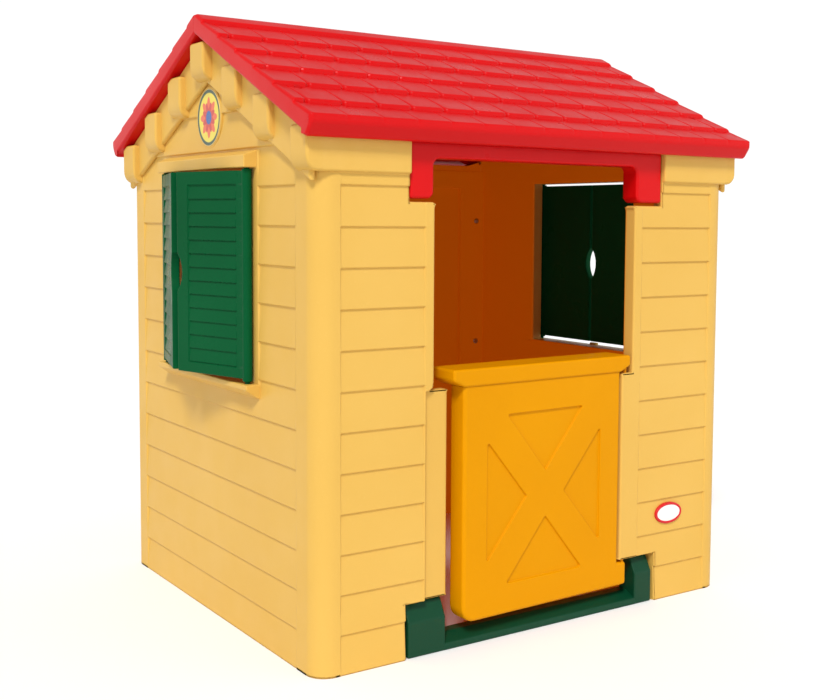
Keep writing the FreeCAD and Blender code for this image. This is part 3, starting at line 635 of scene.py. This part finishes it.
def wall_skin(side):
    """A gable wall with its returns, as one skin round both corners, built on the left."""
    jamb, sill, notch, strip = OPEN_EDGE[side], SILL_EDGE[side], NOTCH_EDGE[side], STRIP_EDGE[side]
    s_low = unrolled(sill)
    s_high = S_BACK + POST_SIDE - CORNER
    corners = [(jamb, CORBEL_Z, -1, 12 * MM), (sill, SHOULDER_Z, -1, 8 * MM), (sill, FOOT_NOTCH_Z, 1, 6 * MM)]
    reaches = [jamb + d * MM for d in (0, 4, 8, 12, 15)] + [sill + d * MM for d in (4, 8)]
    reaches += [notch + d * MM for d in (-6, 0, 6)] + around(strip, HALF_WIDTH - POST_FRONT, CORBEL_OUTER)
    front_lines = [unrolled(reach) for reach in reaches]
    turn_lines = [start + ARC * n / 10 for start in (S_FRONT, BACK_Y - CORNER) for n in range(11)]
    side_lines = around(FRONT_Y + POST_SIDE, BACK_Y - POST_SIDE, MID_Y - SILL_BLOCK_HALF,
                        MID_Y + SILL_BLOCK_HALF)
    side_lines += [MID_Y - WINDOW_HALF, MID_Y, MID_Y + WINDOW_HALF]
    cols = lines(s_low, s_high, 60 * MM, front_lines, turn_lines, side_lines)
    marks = [FOOT_NOTCH_Z, SHOULDER_Z, CORBEL_Z, WALL_TOP, WINDOW_LOW, WINDOW_HIGH]
    marks += around(SILL_BOTTOM, HEAD_TOP, BAND_Z) + [SHOULDER_Z - 3 * MM, SHOULDER_Z - 1.5 * MM]
    marks += [edge + way * radius * n / 3 for n in range(4)
              for _, edge, way, radius in corners + [(jamb, SHOULDER_Z, 1, REBATE_CORNER)]]
    rows = lines(0.0, RIDGE_Z, 34 * MM, board_rows(980 * MM + LIP_ROUND), marks)

    def keep(s, z):
        reach = front_reach(s)
        if s < S_FRONT:
            if z > WALL_TOP or (z < FOOT_NOTCH_Z and reach < notch):
                return False
            return not ((z > SHOULDER_Z and reach < jamb) or (z > CORBEL_Z and reach < CORBEL_OUTER))
        if s > S_BACK:
            return z < WALL_TOP
        return not (abs(s - MID_Y) < WINDOW_HALF and WINDOW_LOW < z < WINDOW_HIGH)

    def place(s, z):
        for edge, level, way, radius in corners:
            s, z = round_corner(s, z, (unrolled(edge), level), (-1, way), radius)
        x, y, nx, ny = wall_path(s)
        slant = roof_under(np.abs(s - MID_Y))                 # lift the corners' tops up to the roof
        lift = (roof_under(np.abs(y - MID_Y)) - slant) * np.clip((z - BAND_Z) / (slant - BAND_Z), 0, 1)
        z = z + np.where((s > S_FRONT - MM) & (s < S_BACK + MM), lift, 0)
        out = wall_relief(s, z, side)
        return [np.column_stack((x + nx * d, y + ny * d, z)) for d in (out, -WALL)]

    peak = (MID_Y, RIDGE_Z - ROOF_DROP - ROOF_GAP, 0)
    slants = [(peak, (-SLOPE, 1, 0), lambda c: S_FRONT < c.x < MID_Y),
              (peak, (SLOPE, 1, 0), lambda c: MID_Y < c.x < S_BACK)]
    return skin(cols, rows, keep, place, slants, 3.5 * MM,
                lambda s, z: z < WALL_TOP - MM and s < s_high - MM)


def rafter_tail(y_low, y_high, low, top, proud, root=TRIM_ROOT):
    """One rafter tail: a slab with round edges, its top under the roof and its foot curled back."""
    def under(y):
        return roof_under(abs(y - MID_Y)) - ROOF_GAP

    rising = MID_Y > (y_low + y_high) / 2
    outline = [(y_low, low), (y_high, low)]
    if under(y_low) < top - MM or under(y_high) < top - MM:
        bend = MID_Y + (-1 if rising else 1) * (RIDGE_Z - ROOF_DROP - ROOF_GAP - top) / SLOPE
        ends = [(y_high, top), (bend, top), (y_low, under(y_low))]
        outline += ends if rising else [(y_high, under(y_high)), (bend, top), (y_low, top)]
    else:
        outline += [(y_high, top), (y_low, top)]
    edge = TAIL_EDGE
    steps = [-root, 0.0, 0.3 * proud, 0.5 * proud, 0.65 * proud, proud - edge]
    steps += [proud - edge * (1 - math.sin(math.pi * n / 8)) for n in (1, 2, 3, 4)]
    rings = []
    for depth in steps:
        lift = TAIL_CURL * (1 - math.sqrt(1 - min(1.0, max(0.0, depth / proud)) ** 2))
        shape = [(y, z + lift if n < 2 else z) for n, (y, z) in enumerate(outline)]
        past = max(0.0, depth - proud + edge)
        shrink = edge - math.sqrt(max(0.0, edge ** 2 - past ** 2))
        rings.append((-HALF_WIDTH - depth, rounded_outline(shape, edge + MM, -shrink, 4)))
    return stacked(rings, "x")


def rafter_tails():
    """The left gable's tails, the last of them a block on the front corner."""
    half = TAIL_WIDTH / 2
    tails = [rafter_tail(MID_Y - half, MID_Y + half, roof_under(0) - TAIL_HEIGHT,
                         roof_under(half) - ROOF_GAP, RIDGE_PROUD)]
    for number in (1, 2, 3):
        run = number * TAIL_PITCH
        low = roof_under(run) - TAIL_HEIGHT
        top = roof_under(run + TAIL_PEAK) - ROOF_GAP
        root = TRIM_ROOT if number < 3 else WALL
        tails.append(rafter_tail(MID_Y + run - half, MID_Y + run + half, low, top, TAIL_PROUD, root))
        if number < 3:
            tails.append(rafter_tail(MID_Y - run - half, MID_Y - run + half, low, top, TAIL_PROUD))
    tails.append(rafter_tail(FRONT_Y - BAND_PROUD, CORNER_TAIL_Y, BAND_Z, top, TAIL_PROUD, WALL))
    return tails


def corner_band():
    """The band along the top of the front wall, from the corner's tail to the doorway."""
    low = (-HALF_WIDTH + 8 * MM, FRONT_Y - BAND_PROUD, BAND_Z)
    return block(low, (-CORBEL_OUTER, FRONT_Y + 25 * MM, WALL_TOP), 4 * MM)


def bargeboard():
    """The two boards along the gable's slopes, under the rafter tails."""
    run = MID_Y - FRONT_Y - 8 * MM
    feet = [(-run, TAIL_HEIGHT), (0, TAIL_HEIGHT), (run, TAIL_HEIGHT)]
    heads = [(run, ROOF_GAP), (0, ROOF_GAP), (-run, ROOF_GAP)]
    outline = [(MID_Y + y, roof_under(abs(y)) - drop) for y, drop in feet + heads]
    return prism(outline, "x", -HALF_WIDTH - BARGE_PROUD, -HALF_WIDTH + TRIM_ROOT, 5.5 * MM, 4, 60)


def window_mouldings():
    """Head, sill and the sill's stop nub."""
    face = -HALF_WIDTH
    root, lip = face + TRIM_ROOT, face - BLOCK_PROUD
    head = [(root, WINDOW_HIGH), (lip, WINDOW_HIGH), (lip, HEAD_TOP - HEAD_FALL), (face, HEAD_TOP),
            (root, HEAD_TOP)]
    sill = [(root, SILL_BOTTOM), (face, SILL_BOTTOM), (lip, SILL_BOTTOM + SILL_RISE), (lip, WINDOW_LOW),
            (root, WINDOW_LOW)]
    nub = block((lip + MM, MID_Y - 11 * MM, WINDOW_LOW - 2 * MM),
                (lip + 11 * MM, MID_Y + 11 * MM, WINDOW_LOW + 5 * MM), 2 * MM)
    return [prism(outline, "y", MID_Y - half, MID_Y + half, 3.5 * MM, 3, 15)
            for outline, half in ((head, HEAD_HALF), (sill, SILL_BLOCK_HALF))] + [nub]


def disc_pad():
    """Flat round pad for the printed disc, flush with the boards' lips."""
    low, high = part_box("left_rosette")
    radius = (high.z - low.z) / 2 + 4 * MM
    profile = rounded_rod(radius, -9 * MM, 0.0, 0.8 * MM)
    return lathe(profile, (-HALF_WIDTH, MID_Y, (low.z + high.z) / 2), (-1, 0, 0), 64)


def gable_wall(side):
    """A gable wall with its trim; the right one is the mirrored left one with its own doorway edges."""
    trim = [bargeboard(), corner_band(), disc_pad()] + window_mouldings() + rafter_tails()
    wall = boolean(wall_skin(side), trim, "UNION")
    return mirrored(wall, "x") if side > 0 else wall


for wall_name, wall_side in (("left_gable_wall", -1), ("right_gable_wall", 1)):
    piece(wall_name + "_shell", gable_wall(wall_side), "house", "wall_plastic", [YELLOW], wall_name)


# -------- back wall

def back_wall():
    """Clapboard panel with a rim behind it that laps the gable walls' rear returns."""
    low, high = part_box("back_wall")
    half = HALF_WIDTH - POST_SIDE - 0.25 * MM
    stile = 12 * MM
    cols = lines(-half, half, 60 * MM, around(-half + stile, half - stile))
    rows = lines(0.0, WALL_TOP, 34 * MM, board_rows(BAND_Z), around(BAND_Z))

    def place(x, z):
        out = board_relief(z) * fade(x, -half + stile, half - stile) * np.clip((BAND_Z - z) / SOFT, 0, 1)
        return np.column_stack((x, BACK_Y + out, z)), np.column_stack((x, 0 * x + BACK_Y - WALL, z))

    panel = skin(cols, rows, lambda x, z: True, place, (), 3 * MM)
    wide = high.x
    inner = half - 30 * MM
    rim_top = WALL_TOP - 15 * MM
    window_top = WALL_TOP - 60 * MM
    rim_cols = lines(-wide, wide, 2.0, (-inner, inner))
    rim_rows = lines(0.0, rim_top, 2.0, (window_top,))

    def rim_place(x, z):
        return np.column_stack((x, 0 * x + BACK_Y - WALL + MM, z)), np.column_stack((x, 0 * x + low.y, z))

    rim = skin(rim_cols, rim_rows, lambda x, z: abs(x) > inner or z > window_top, rim_place, (), 2 * MM)
    return boolean(panel, [rim], "UNION")


piece("back_wall_shell", back_wall(), "house", "wall_plastic", [YELLOW], "back_wall")


# -------- roof

NOTCH_LIP = np.array([0.6, 1.0, 1.0, 0.5, 1.0, 1.0, 0.0])  # strength of the tile joints by course


def tile_joints(course):
    """Places along X of the joints between the tiles of a course; every other course is staggered."""
    width = 2 * ROOF_HALF / TILES
    shift = 0.0 if course % 2 == 0 else width / 2 - 8 * MM
    places = [-ROOF_HALF + shift + width * n for n in range(TILES + 1)]
    return np.array([x for x in places if abs(x) < ROOF_HALF - 12 * MM])


def roof_profile():
    """Rows of the roof's section: (run, course, part of the way over the lip), ridge to eave."""
    rows = [(start * MM, 6, 0.0) for start in (0.25, 0.8, 2, 5, 12)]
    edges = [0.0] + COURSES[::-1]
    nose = 3.8 * MM
    for index, (upper, lower) in enumerate(zip(edges, edges[1:])):
        course = 6 - index
        if index:
            for offset in (0.3 * MM, 1.5 * MM, 4 * MM):
                rows.append((upper + offset, course, 0.0))
            rows += [(upper + (lower - upper) * part, course, 0.0) for part in (0.3, 0.6)]
        rows.append((lower - nose - 3 * MM, course, 0.0))
        rows += [(lower - nose * (1 - part), course, part) for part in (0.0, 0.35, 0.6, 0.8, 0.92, 1.0)]
    return rows


def roof_panel():
    """The roof half over the door: overlapping courses of tiles, fascia and rakes."""
    run, course, over = (np.array(column) for column in zip(*roof_profile()))
    lower = np.array(COURSES)[course]
    upper = np.array(COURSES[1:] + [0.0])[course]
    joint_lines = [x + d * MM for number in (0, 1) for x in tile_joints(number)
                   for d in (-7, -4, -2, -0.8, 0, 0.8, 2, 4, 7)]
    rim = 7 * MM
    edge_lines = [side * (ROOF_HALF - rim * part) for side in (-1, 1)
                  for part in (0.06, 0.22, 0.45, 0.75, 1, 1.6, 2.6)]
    cols = lines(-ROOF_HALF, ROOF_HALF, 40 * MM, joint_lines, edge_lines)
    fascia = in_mm([(0, -9), (-0.3, -13), (-2.5, -18), (-12.5, -32), (-15, -35), (-18, -36), (-22, -36),
                    (-25, -34)], EAVE_RUN, roof_top(EAVE_RUN))
    turn = EAVE_RUN - 31 * MM
    under = [(turn, roof_under(turn)), (turn / 2, roof_under(turn / 2)), (0.25 * MM, roof_under(0.0))]
    rings = []
    for x in cols:
        inward = ROOF_HALF - abs(x)
        shrink = rim - math.sqrt(rim ** 2 - max(0.0, rim - inward) ** 2)
        step = LIP * (0.5 + 0.5 * min(1.0, inward / (16 * MM)))
        near = np.array([np.abs(tile_joints(n) - x).min() for n in range(7)])
        strength = NOTCH_LIP[course]
        groove = np.exp(-(near[course] / (1.5 * MM)) ** 2) * strength
        notch = np.exp(-(near[course] / (3.5 * MM)) ** 2) * strength
        by_lip = np.clip(1 - (lower - run) / (14 * MM), 0, 1)
        t = run - 6.5 * MM * notch * by_lip * (course > 0) - 2 * MM * notch * by_lip * (course == 0)
        lean = (lower - run) / (lower - upper)
        drop = np.where(course > 0, step, 3 * MM) * (1 - (1 - over ** 2.4) ** (1 / 2.4))
        lean_depth = np.where(course < 6, step * lean, 0.0)
        z = roof_top(run) - lean_depth - drop - 2.2 * MM * groove * (over < 0.9)
        z = z - 2.5 * MM * (1 - np.clip(run / (3 * MM), 0, 1)) ** 2 - shrink
        t = np.minimum(t, EAVE_RUN - shrink)
        ring = [(MID_Y - a, b) for a, b in zip(t, z)]
        ring += [(MID_Y - a + shrink, b + min(shrink, 4 * MM) * (n > 3)) for n, (a, b) in enumerate(fascia)]
        ring += [(MID_Y - a, b + shrink) for a, b in under]
        rings.append([(x, *point) for point in ring])
    bm = loft(rings)
    bmesh.ops.triangulate(bm, faces=[face for face in bm.faces if len(face.verts) > 4])
    return bm


SCREW_HEAD = 7 * MM
SIDES = (-1, 1)
SCREW_RUN = 347 * MM
SCREW_SPOTS = {                       # node name: [(point under the head, direction, length), ...]
    "roof_screws": [((side * 470 * MM, MID_Y + way * SCREW_RUN, roof_top(SCREW_RUN) - 16 * MM),
                     (0, 0, -1), 55 * MM) for side in SIDES for way in SIDES],
}


def roof_half(way):
    """One roof half with the sunk holes for its screws."""
    bm = roof_panel()
    if way > 0:
        bm = mirrored(bm, "y", MID_Y)
    holes = []
    radius, depth = SCREW_HEAD + 0.3 * MM, 30 * MM
    for point, _, _ in SCREW_SPOTS["roof_screws"]:
        if (point[1] - MID_Y) * way > 0:
            holes.append(lathe([(0, 0), (radius, 0), (radius, depth), (0, depth)], point, (0, 0, 1), 32))
    return boolean(bm, holes, "DIFFERENCE")


for roof_end, roof_way in (("front", -1), ("rear", 1)):
    piece("roof_" + roof_end + "_shell", roof_half(roof_way), "house", "roof_plastic", [RED],
          "roof_" + roof_end + "_panel", sharp=50)


# -------- doorway

def header():
    """Lintel with a corbel at each end, and the flange behind the walls."""
    low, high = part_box("door_header")
    half, foot = CORBEL_OUTER - MM, 820 * MM
    beam_low = high.z - 31 * MM
    inner = {-1: 250 * MM, 1: 232 * MM}
    bend, chamfer = 14 * MM, 8 * MM
    outline = []
    for side in (1, -1):
        edge = inner[side]
        corner = [(side * x, z) for x, z in arc((edge - bend, beam_low - bend), bend, 0, 90, 6)]
        part = [(side * half, high.z), (side * half, foot), (side * (edge + chamfer), foot),
                (side * edge, foot + chamfer)] + corner
        outline += part if side > 0 else list(reversed(part))
    front = prism(outline, "y", low.y, high.y, 6 * MM, 5, 30)
    wide = high.x
    under = 828 * MM
    left, right = -inner[-1] - MM, inner[1] + MM
    flange = [(wide, high.z), (wide, under), (right, under), (right, beam_low + MM),
              (left, beam_low + MM), (left, under), (-wide, under), (-wide, high.z)]
    back = prism(flange, "y", BEHIND_WALL, high.y, 2 * MM, 2, 30)
    return boolean(front, [back], "UNION")


piece("door_header_shell", header(), "house", "roof_plastic", [RED], "door_header")


def threshold():
    """Foot rail with an end block in each wall's notch, and tongues behind the walls."""
    low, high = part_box("threshold")
    front, back, top = low.y, high.y, high.z
    step = [(front, 0), (back, 0), (back, top - 12 * MM), (back - 6 * MM, top), (front + 18 * MM, top),
            (front, 64 * MM)]
    bar_front, bar_back = front + 0.3 * MM, back - 0.3 * MM
    bar_top = 26 * MM
    bar = [(bar_front, 0), (bar_back, 0), (bar_back, bar_top), (front + bar_top, bar_top),
           (bar_front, bar_top / 2)]
    parts = [prism(step, "x", *ends, 3.5 * MM, 3, 20) for ends in in_mm([(-300, -220), (245, 291)])]
    parts += [block((start, BEHIND_WALL, 0), (end, back, 60 * MM), 2 * MM)
              for start, end in ((low.x, -295 * MM), (286 * MM, high.x))]
    return boolean(prism(bar, "x", -225 * MM, 250 * MM, 2.5 * MM, 3, 15), parts, "UNION")


piece("threshold_shell", threshold(), "house", "green_plastic", [RAIL], "threshold")

HINGE_X, HINGE_Y, _ = joints["door_hinge"]["pos_m"]
DOOR_AJAR = 2
DOOR_FRONT = FRONT_Y + 2 * MM
DOOR_BACK = DOOR_FRONT + 45 * MM
DOOR_LEFT, DOOR_RIGHT = -193 * MM, 196 * MM
DOOR_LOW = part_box("door_panel")[0].z
DOOR_CORNER = 28 * MM
FOOT_RIGHT, FOOT_TOP = 220 * MM, 95 * MM
SHELF_LOW, SHELF_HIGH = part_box("door_shelf")[0].z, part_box("door_shelf")[1].z
SHELF_FRONT, SHELF_BACK = FRONT_Y - 2 * MM, FRONT_Y + 71 * MM
SHELF_LEFT, SHELF_RIGHT = -219 * MM, 220 * MM
PIN_RADIUS, PIN_HEAD_RADIUS, PIN_HEAD = 3.5 * MM, 4.7 * MM, 3 * MM
PIN_SINK, PIN_ROOM = 2 * MM, 0.3 * MM
DOOR_ROUND = 7 * MM

# Section of a pressed triangle's edge: (depth, growth of its outline), in millimetres
PRESS = [(-2.0, 1.4), (0.0, 1.4), (0.4, 0.5), (1.2, 0.0), (3.4, -0.3), (4.1, -0.9), (4.4, -1.9)]


def pressed_triangles():
    """The four triangles pressed into the door's face between its crossed planks."""
    middle_x, low, high = 2 * MM, 105 * MM, 425 * MM
    middle = (low + high) / 2
    wide, tall, plank, slim = 141 * MM, (high - low) / 2, 44 * MM, 46 * MM
    upper = [(wide - slim, tall), (slim - wide, tall), (0, plank)]
    left = [(-wide, tall - slim), (-wide, slim - tall), (-slim, 0)]
    tools = []
    for shape, turn in ((upper, 1), (upper, -1), (left, 1), (left, -1)):
        points = [(middle_x + turn * a, middle + turn * b) for a, b in shape]
        rings = [(DOOR_FRONT + depth, rounded_outline(points, 3 * MM, grow)) for depth, grow in in_mm(PRESS)]
        tools.append(stacked(rings, "y"))
    return tools


def pin_bores():
    """Running hole for the hinge pins with a counterbore at each end."""
    depth = PIN_SINK + PIN_HEAD + PIN_ROOM
    wide, slim = PIN_HEAD_RADIUS + PIN_ROOM, PIN_RADIUS + 0.1 * MM
    start, end = DOOR_LOW - 5 * MM, SHELF_HIGH + 5 * MM
    profile = [(0, start), (wide, start), (wide, DOOR_LOW + depth), (slim, DOOR_LOW + depth),
               (slim, SHELF_HIGH - depth), (wide, SHELF_HIGH - depth), (wide, end), (0, end)]
    return lathe(profile, (HINGE_X, HINGE_Y, 0), (0, 0, 1), 24)


def door_panel():
    """The door's slab with its foot for the lower hinge pin."""
    corner = arc((DOOR_LEFT + DOOR_CORNER, DOOR_LOW + DOOR_CORNER), DOOR_CORNER, 180, 270, 10)
    outline = [(DOOR_LEFT, SHELF_LOW)] + corner
    outline += [(FOOT_RIGHT, DOOR_LOW), (FOOT_RIGHT, FOOT_TOP), (DOOR_RIGHT, FOOT_TOP),
                (DOOR_RIGHT, SHELF_LOW)]
    slab = prism(outline, "y", DOOR_FRONT, DOOR_BACK, DOOR_ROUND, 4)
    lid = block((DOOR_LEFT, DOOR_FRONT, SHELF_LOW - 20 * MM), (DOOR_RIGHT, DOOR_BACK, SHELF_LOW), 0.0)
    upright = [e for e in lid.edges if abs(e.verts[0].co.z - e.verts[1].co.z) > 10 * MM]
    round_edges(lid, upright, DOOR_ROUND, 4)
    slab = boolean(slab, [lid], "UNION")
    return boolean(slab, pressed_triangles() + [pin_bores()], "DIFFERENCE")


def door_shelf():
    """The thick ledge on the door, its lower corners sloped."""
    across, side_low = 26 * MM, SHELF_LOW + 12 * MM
    outline = [(SHELF_LEFT, SHELF_HIGH), (SHELF_LEFT, side_low), (SHELF_LEFT + across, SHELF_LOW),
               (SHELF_RIGHT - across, SHELF_LOW), (SHELF_RIGHT, side_low), (SHELF_RIGHT, SHELF_HIGH)]
    ledge = prism(outline, "y", SHELF_FRONT, SHELF_BACK, 5 * MM, 4, 15)
    return boolean(ledge, [pin_bores()], "DIFFERENCE")


for door_name, door_part in (("door_panel", door_panel()), ("door_shelf", door_shelf())):
    piece(door_name + "_shell", turned(door_part, HINGE_X, HINGE_Y, DOOR_AJAR), "door", "door_plastic",
          [ORANGE], door_name)


def hinge_pins():
    """Two headed pins fixed in the right wall."""
    neck = PIN_HEAD_RADIUS - 0.3 * MM
    head = [(PIN_HEAD_RADIUS, PIN_HEAD - 0.2 * MM), (PIN_HEAD_RADIUS, 0.8 * MM), (neck, 0.3 * MM),
            (PIN_HEAD_RADIUS - MM, 0.0)] + in_mm([(2.2, 0), (1.8, 0.5), (0, 0.6)])
    upper, lower = SHELF_HIGH - PIN_SINK, DOOR_LOW + PIN_SINK
    pins = []
    for start, length, way in ((upper, upper - (SHOULDER_Z - 25 * MM), -1),
                               (lower, FOOT_NOTCH_Z + 25 * MM - lower, 1)):
        shaft = [(0.0, length), (PIN_RADIUS - MM, length), (PIN_RADIUS, length - MM), (PIN_RADIUS, PIN_HEAD),
                 (neck, PIN_HEAD)]
        pins.append(lathe(shaft + head, (HINGE_X, HINGE_Y, start), (0, 0, way), 40))
    return joined(pins)


piece("hinge_pins_shell", hinge_pins(), "house", "pin_plastic", [PIN], "door_hinge_pins")


# -------- shutters

LOUVRES = 13


def shutter():
    """The left front shutter, shut: hinge roll with pins, louvres and a finger hollow at its free edge."""
    x, y = -HALF_WIDTH - 12 * MM, MID_Y - 196 * MM
    outer, inner = x - 8 * MM, x + 8 * MM
    low, high, width = 491 * MM, 869 * MM, 192.5 * MM
    middle = (low + high) / 2
    rise, half = 14 * MM, 36 * MM
    radius = (half ** 2 + rise ** 2) / (2 * rise)
    field = (y + 22 * MM, y + width - 34 * MM, low + 21 * MM, high - 26 * MM)
    line = (field[0] - 2 * MM, field[1] + 2 * MM, field[2] - 2 * MM, field[3] + 2 * MM)
    pitch = (field[3] - field[2]) / LOUVRES
    soft = 1.2 * MM
    free = y + width
    cols = lines(y, free, 40 * MM, around(*field[:2], *line[:2], soft=soft),
                 [field[1] + 5 * MM, free - 4 * MM])
    louvres = [field[2] + pitch * (n + part) for n in range(LOUVRES) for part in (0, 0.03, 0.08, 0.14, 0.6)]
    finger = [middle + half * way * part for way in SIDES for part in (0, 0.2, 0.45, 0.65, 0.8, 0.9, 0.97, 1)]
    rows = lines(low, high, 30 * MM, around(*field[2:], *line[2:], soft=soft), louvres, finger)

    def place(u, v):
        bite = np.sqrt(np.clip(radius ** 2 - (v - middle) ** 2, 0, None)) - (radius - rise)
        bite = np.clip(bite, 0, None) * (np.abs(v - middle) < half)
        margin = np.clip((u - line[1]) / (free - line[1]), 0, 1)
        inside = fade(u, field[0], field[1], soft) * fade(v, field[2], field[3], soft)
        within = fade(u, line[0], line[1], soft) * fade(v, line[2], line[3], soft)
        relief = board_relief(v - field[2], pitch, 3.4 * MM, 1.4 * MM) * inside - 1.8 * MM * (within - inside)
        shaped = u - bite * margin
        front = np.column_stack((0 * u + outer - relief, shaped, v))
        return front, np.column_stack((0 * u + inner, shaped, v))

    panel = skin(cols, rows, lambda u, v: True, place, (), 2.2 * MM)
    roll = lathe(rounded_rod(9 * MM, 486 * MM, 872 * MM, 2 * MM), (x, y, 0), (0, 0, 1), 40)
    nub_profile = rounded_rod(5 * MM, WINDOW_LOW - 9 * MM, WINDOW_HIGH + 9 * MM, MM)
    nub = lathe(nub_profile, (x, y, 0), (0, 0, 1), 32)
    return boolean(panel, [roll, nub], "UNION")


AJAR = 16
for shutter_side in ("left", "right"):
    for shutter_end, way in (("front", 1), ("rear", -1)):
        shutter_name = shutter_side + "_" + shutter_end + "_shutter"
        leaf = shutter()
        if way < 0:
            leaf = mirrored(leaf, "y", MID_Y)
        if shutter_side == "right":
            leaf = mirrored(leaf, "x")
        else:
            leaf = turned(leaf, *joints[shutter_name + "_hinge"]["pos_m"][:2], way * AJAR)
        piece(shutter_name + "_shell", leaf, shutter_name, "green_plastic", [GREEN], shutter_name)


# -------- trim and fixings

def printed_disc(node):
    """Thin disc with a rolled rim, on its pad under the gable's peak."""
    low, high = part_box(node)
    radius = (high.z - low.z) / 2
    side, root = (1, low.x) if high.x > 0 else (-1, high.x)
    thick = high.x - low.x
    profile = in_mm([(0, -0.2)]) + in_mm([(-0.5, -0.2), (0, 0.3)], radius)
    profile += in_mm([(0, -0.5), (-0.2, -0.2), (-0.6, 0), (-2.2, 0), (-3, -0.35)], radius, thick)
    profile += [(radius * 0.6, thick - 0.3 * MM), (radius * 0.25, thick - 0.25 * MM), (0, thick - 0.2 * MM)]
    return lathe(profile, (root, (low.y + high.y) / 2, (low.z + high.z) / 2), (side, 0, 0), 96)


for disc_name in ("left_rosette", "right_rosette"):
    piece(disc_name + "_disc", printed_disc(disc_name), "house", "printed_disc", [PRINT], disc_name)


def oval_badge():
    """Blank oval plate with a raised rim."""
    low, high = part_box("front_badge")
    half, tall = (high.x - low.x) / 2, (high.z - low.z) / 2
    thick = high.y - low.y
    steps = [(0, 0)] + in_mm([(0, -1.6), (0.4, -0.8), (1.2, -0.2), (2.2, 0), (3.6, -0.1), (4.4, -0.5),
                              (4.8, -1.1), (5.4, -1.2), (12, -0.9), (18, -0.8)], 0.0, thick)
    centre = ((low.x + high.x) / 2, (low.z + high.z) / 2)
    rings = []
    for inset, height in steps:
        ring = [(centre[0] + (half - inset) * math.cos(t), centre[1] + (tall - inset) * math.sin(t))
                for t in (2 * math.pi * n / 72 for n in range(72))]
        rings.append((high.y - height, ring))
    plate = stacked(rings, "y")
    face_edge = 5.2 * MM
    for face in plate.faces:
        middle = face.calc_center_median()
        reach = math.hypot((middle.x - centre[0]) / (half - face_edge),
                           (middle.z - centre[1]) / (tall - face_edge))
        if reach < 1 and middle.y < (low.y + high.y) / 2:
            face.material_index = 1
    return plate


piece("front_badge_plate", oval_badge(), "house", "badge_plastic", [BADGE_RIM, BADGE_FACE], "front_badge")


def screw(point, direction, length):
    """A pan-headed screw; the point is under its head."""
    head = in_mm([(0, -3), (5.2, -3), (6.4, -2.5)]) + [(SCREW_HEAD, -1.5 * MM), (SCREW_HEAD, 0.0)]
    shank = [(3 * MM, 0.0), (3 * MM, length - 1.5 * MM), (1.5 * MM, length), (0.0, length)]
    body = lathe(head + shank, (0, 0, 0), (0, 0, 1), 32)
    for a, b in in_mm([(3.4, 0.7), (0.7, 3.4)]):
        body = boolean(body, [block((-a, -b, -4 * MM), (a, b, -1.2 * MM), 0.2 * MM, 2)], "DIFFERENCE")
    bmesh.ops.transform(body, matrix=aimed(point, direction), verts=body.verts)
    return body


for screw_node, out, screw_y, way, screw_length, heights in (
        ("back_wall_screws", 430, BACK_Y - WALL - 12 * MM, 1, 30, (150, 460, 780)),
        ("header_screws", 330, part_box("door_header")[1].y, -1, 34, (848, 904)),
        ("threshold_screws", 322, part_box("threshold")[1].y, -1, 40, (30,))):
    SCREW_SPOTS[screw_node] = [((side * out * MM, screw_y, z * MM), (0, way, 0), screw_length * MM)
                               for side in SIDES for z in heights]
for screw_node, spots in SCREW_SPOTS.items():
    piece(screw_node + "_set", joined([screw(*spot) for spot in spots]), "house", "screw_steel", [STEEL],
          screw_node)


# -------- studio

def studio():
    """Pale floor, white surroundings, and soft light from the front left and above."""
    bpy.ops.mesh.primitive_plane_add(size=60)
    floor = bpy.context.object
    floor.name = "studio_floor"
    floor.data.materials.append(floor_material())
    world = bpy.data.worlds.new("studio")
    bpy.context.scene.world = world
    paint = Paint(world, "Background", "Generated")
    paint.coat("Strength", paint.spread(paint.axes()["Z"], 0.2, 0.5, 1.04, 0.42))
    paint.coat("Color", (1.0, 1.0, 1.0, 1.0))
    for name, place, energy, spread_angle in (("key_sun", (-2.2, -2.6, 3.6), 2.6, 12),
                                              ("fill_sun", (2.6, -2.0, 1.6), 0.25, 60)):
        lamp = bpy.data.lights.new(name, "SUN")
        lamp.energy = energy
        lamp.angle = math.radians(spread_angle)
        thing = in_scene(name, lamp)
        thing.location = place
        thing.rotation_mode = "QUATERNION"
        thing.rotation_quaternion = (-Vector(place)).to_track_quat("-Z", "Y")


def camera():
    """A long view from the front left, a little above the door."""
    lens = bpy.data.cameras.new("camera")
    lens.sensor_width, lens.lens = 36, 51.2
    lens.shift_x, lens.shift_y = -0.0729, -0.0521
    lens.clip_end = 100
    thing = in_scene("camera", lens)
    yaw, pitch, roll = math.radians(35.58), math.radians(4.17), math.radians(0.49)
    ahead = Vector((math.sin(yaw) * math.cos(pitch), math.cos(yaw) * math.cos(pitch), -math.sin(pitch)))
    right = Vector((math.cos(yaw), -math.sin(yaw), 0))
    up = right.cross(ahead)
    side = right * math.cos(roll) + up * math.sin(roll)
    over = up * math.cos(roll) - right * math.sin(roll)
    turn = Matrix((side, over, -ahead)).transposed().to_4x4()
    thing.matrix_world = Matrix.Translation((-1.409, MID_Y - 2.2, 0.785)) @ turn
    bpy.context.scene.camera = thing


studio()
camera()
bpy.context.scene.view_settings.view_transform = "Standard"
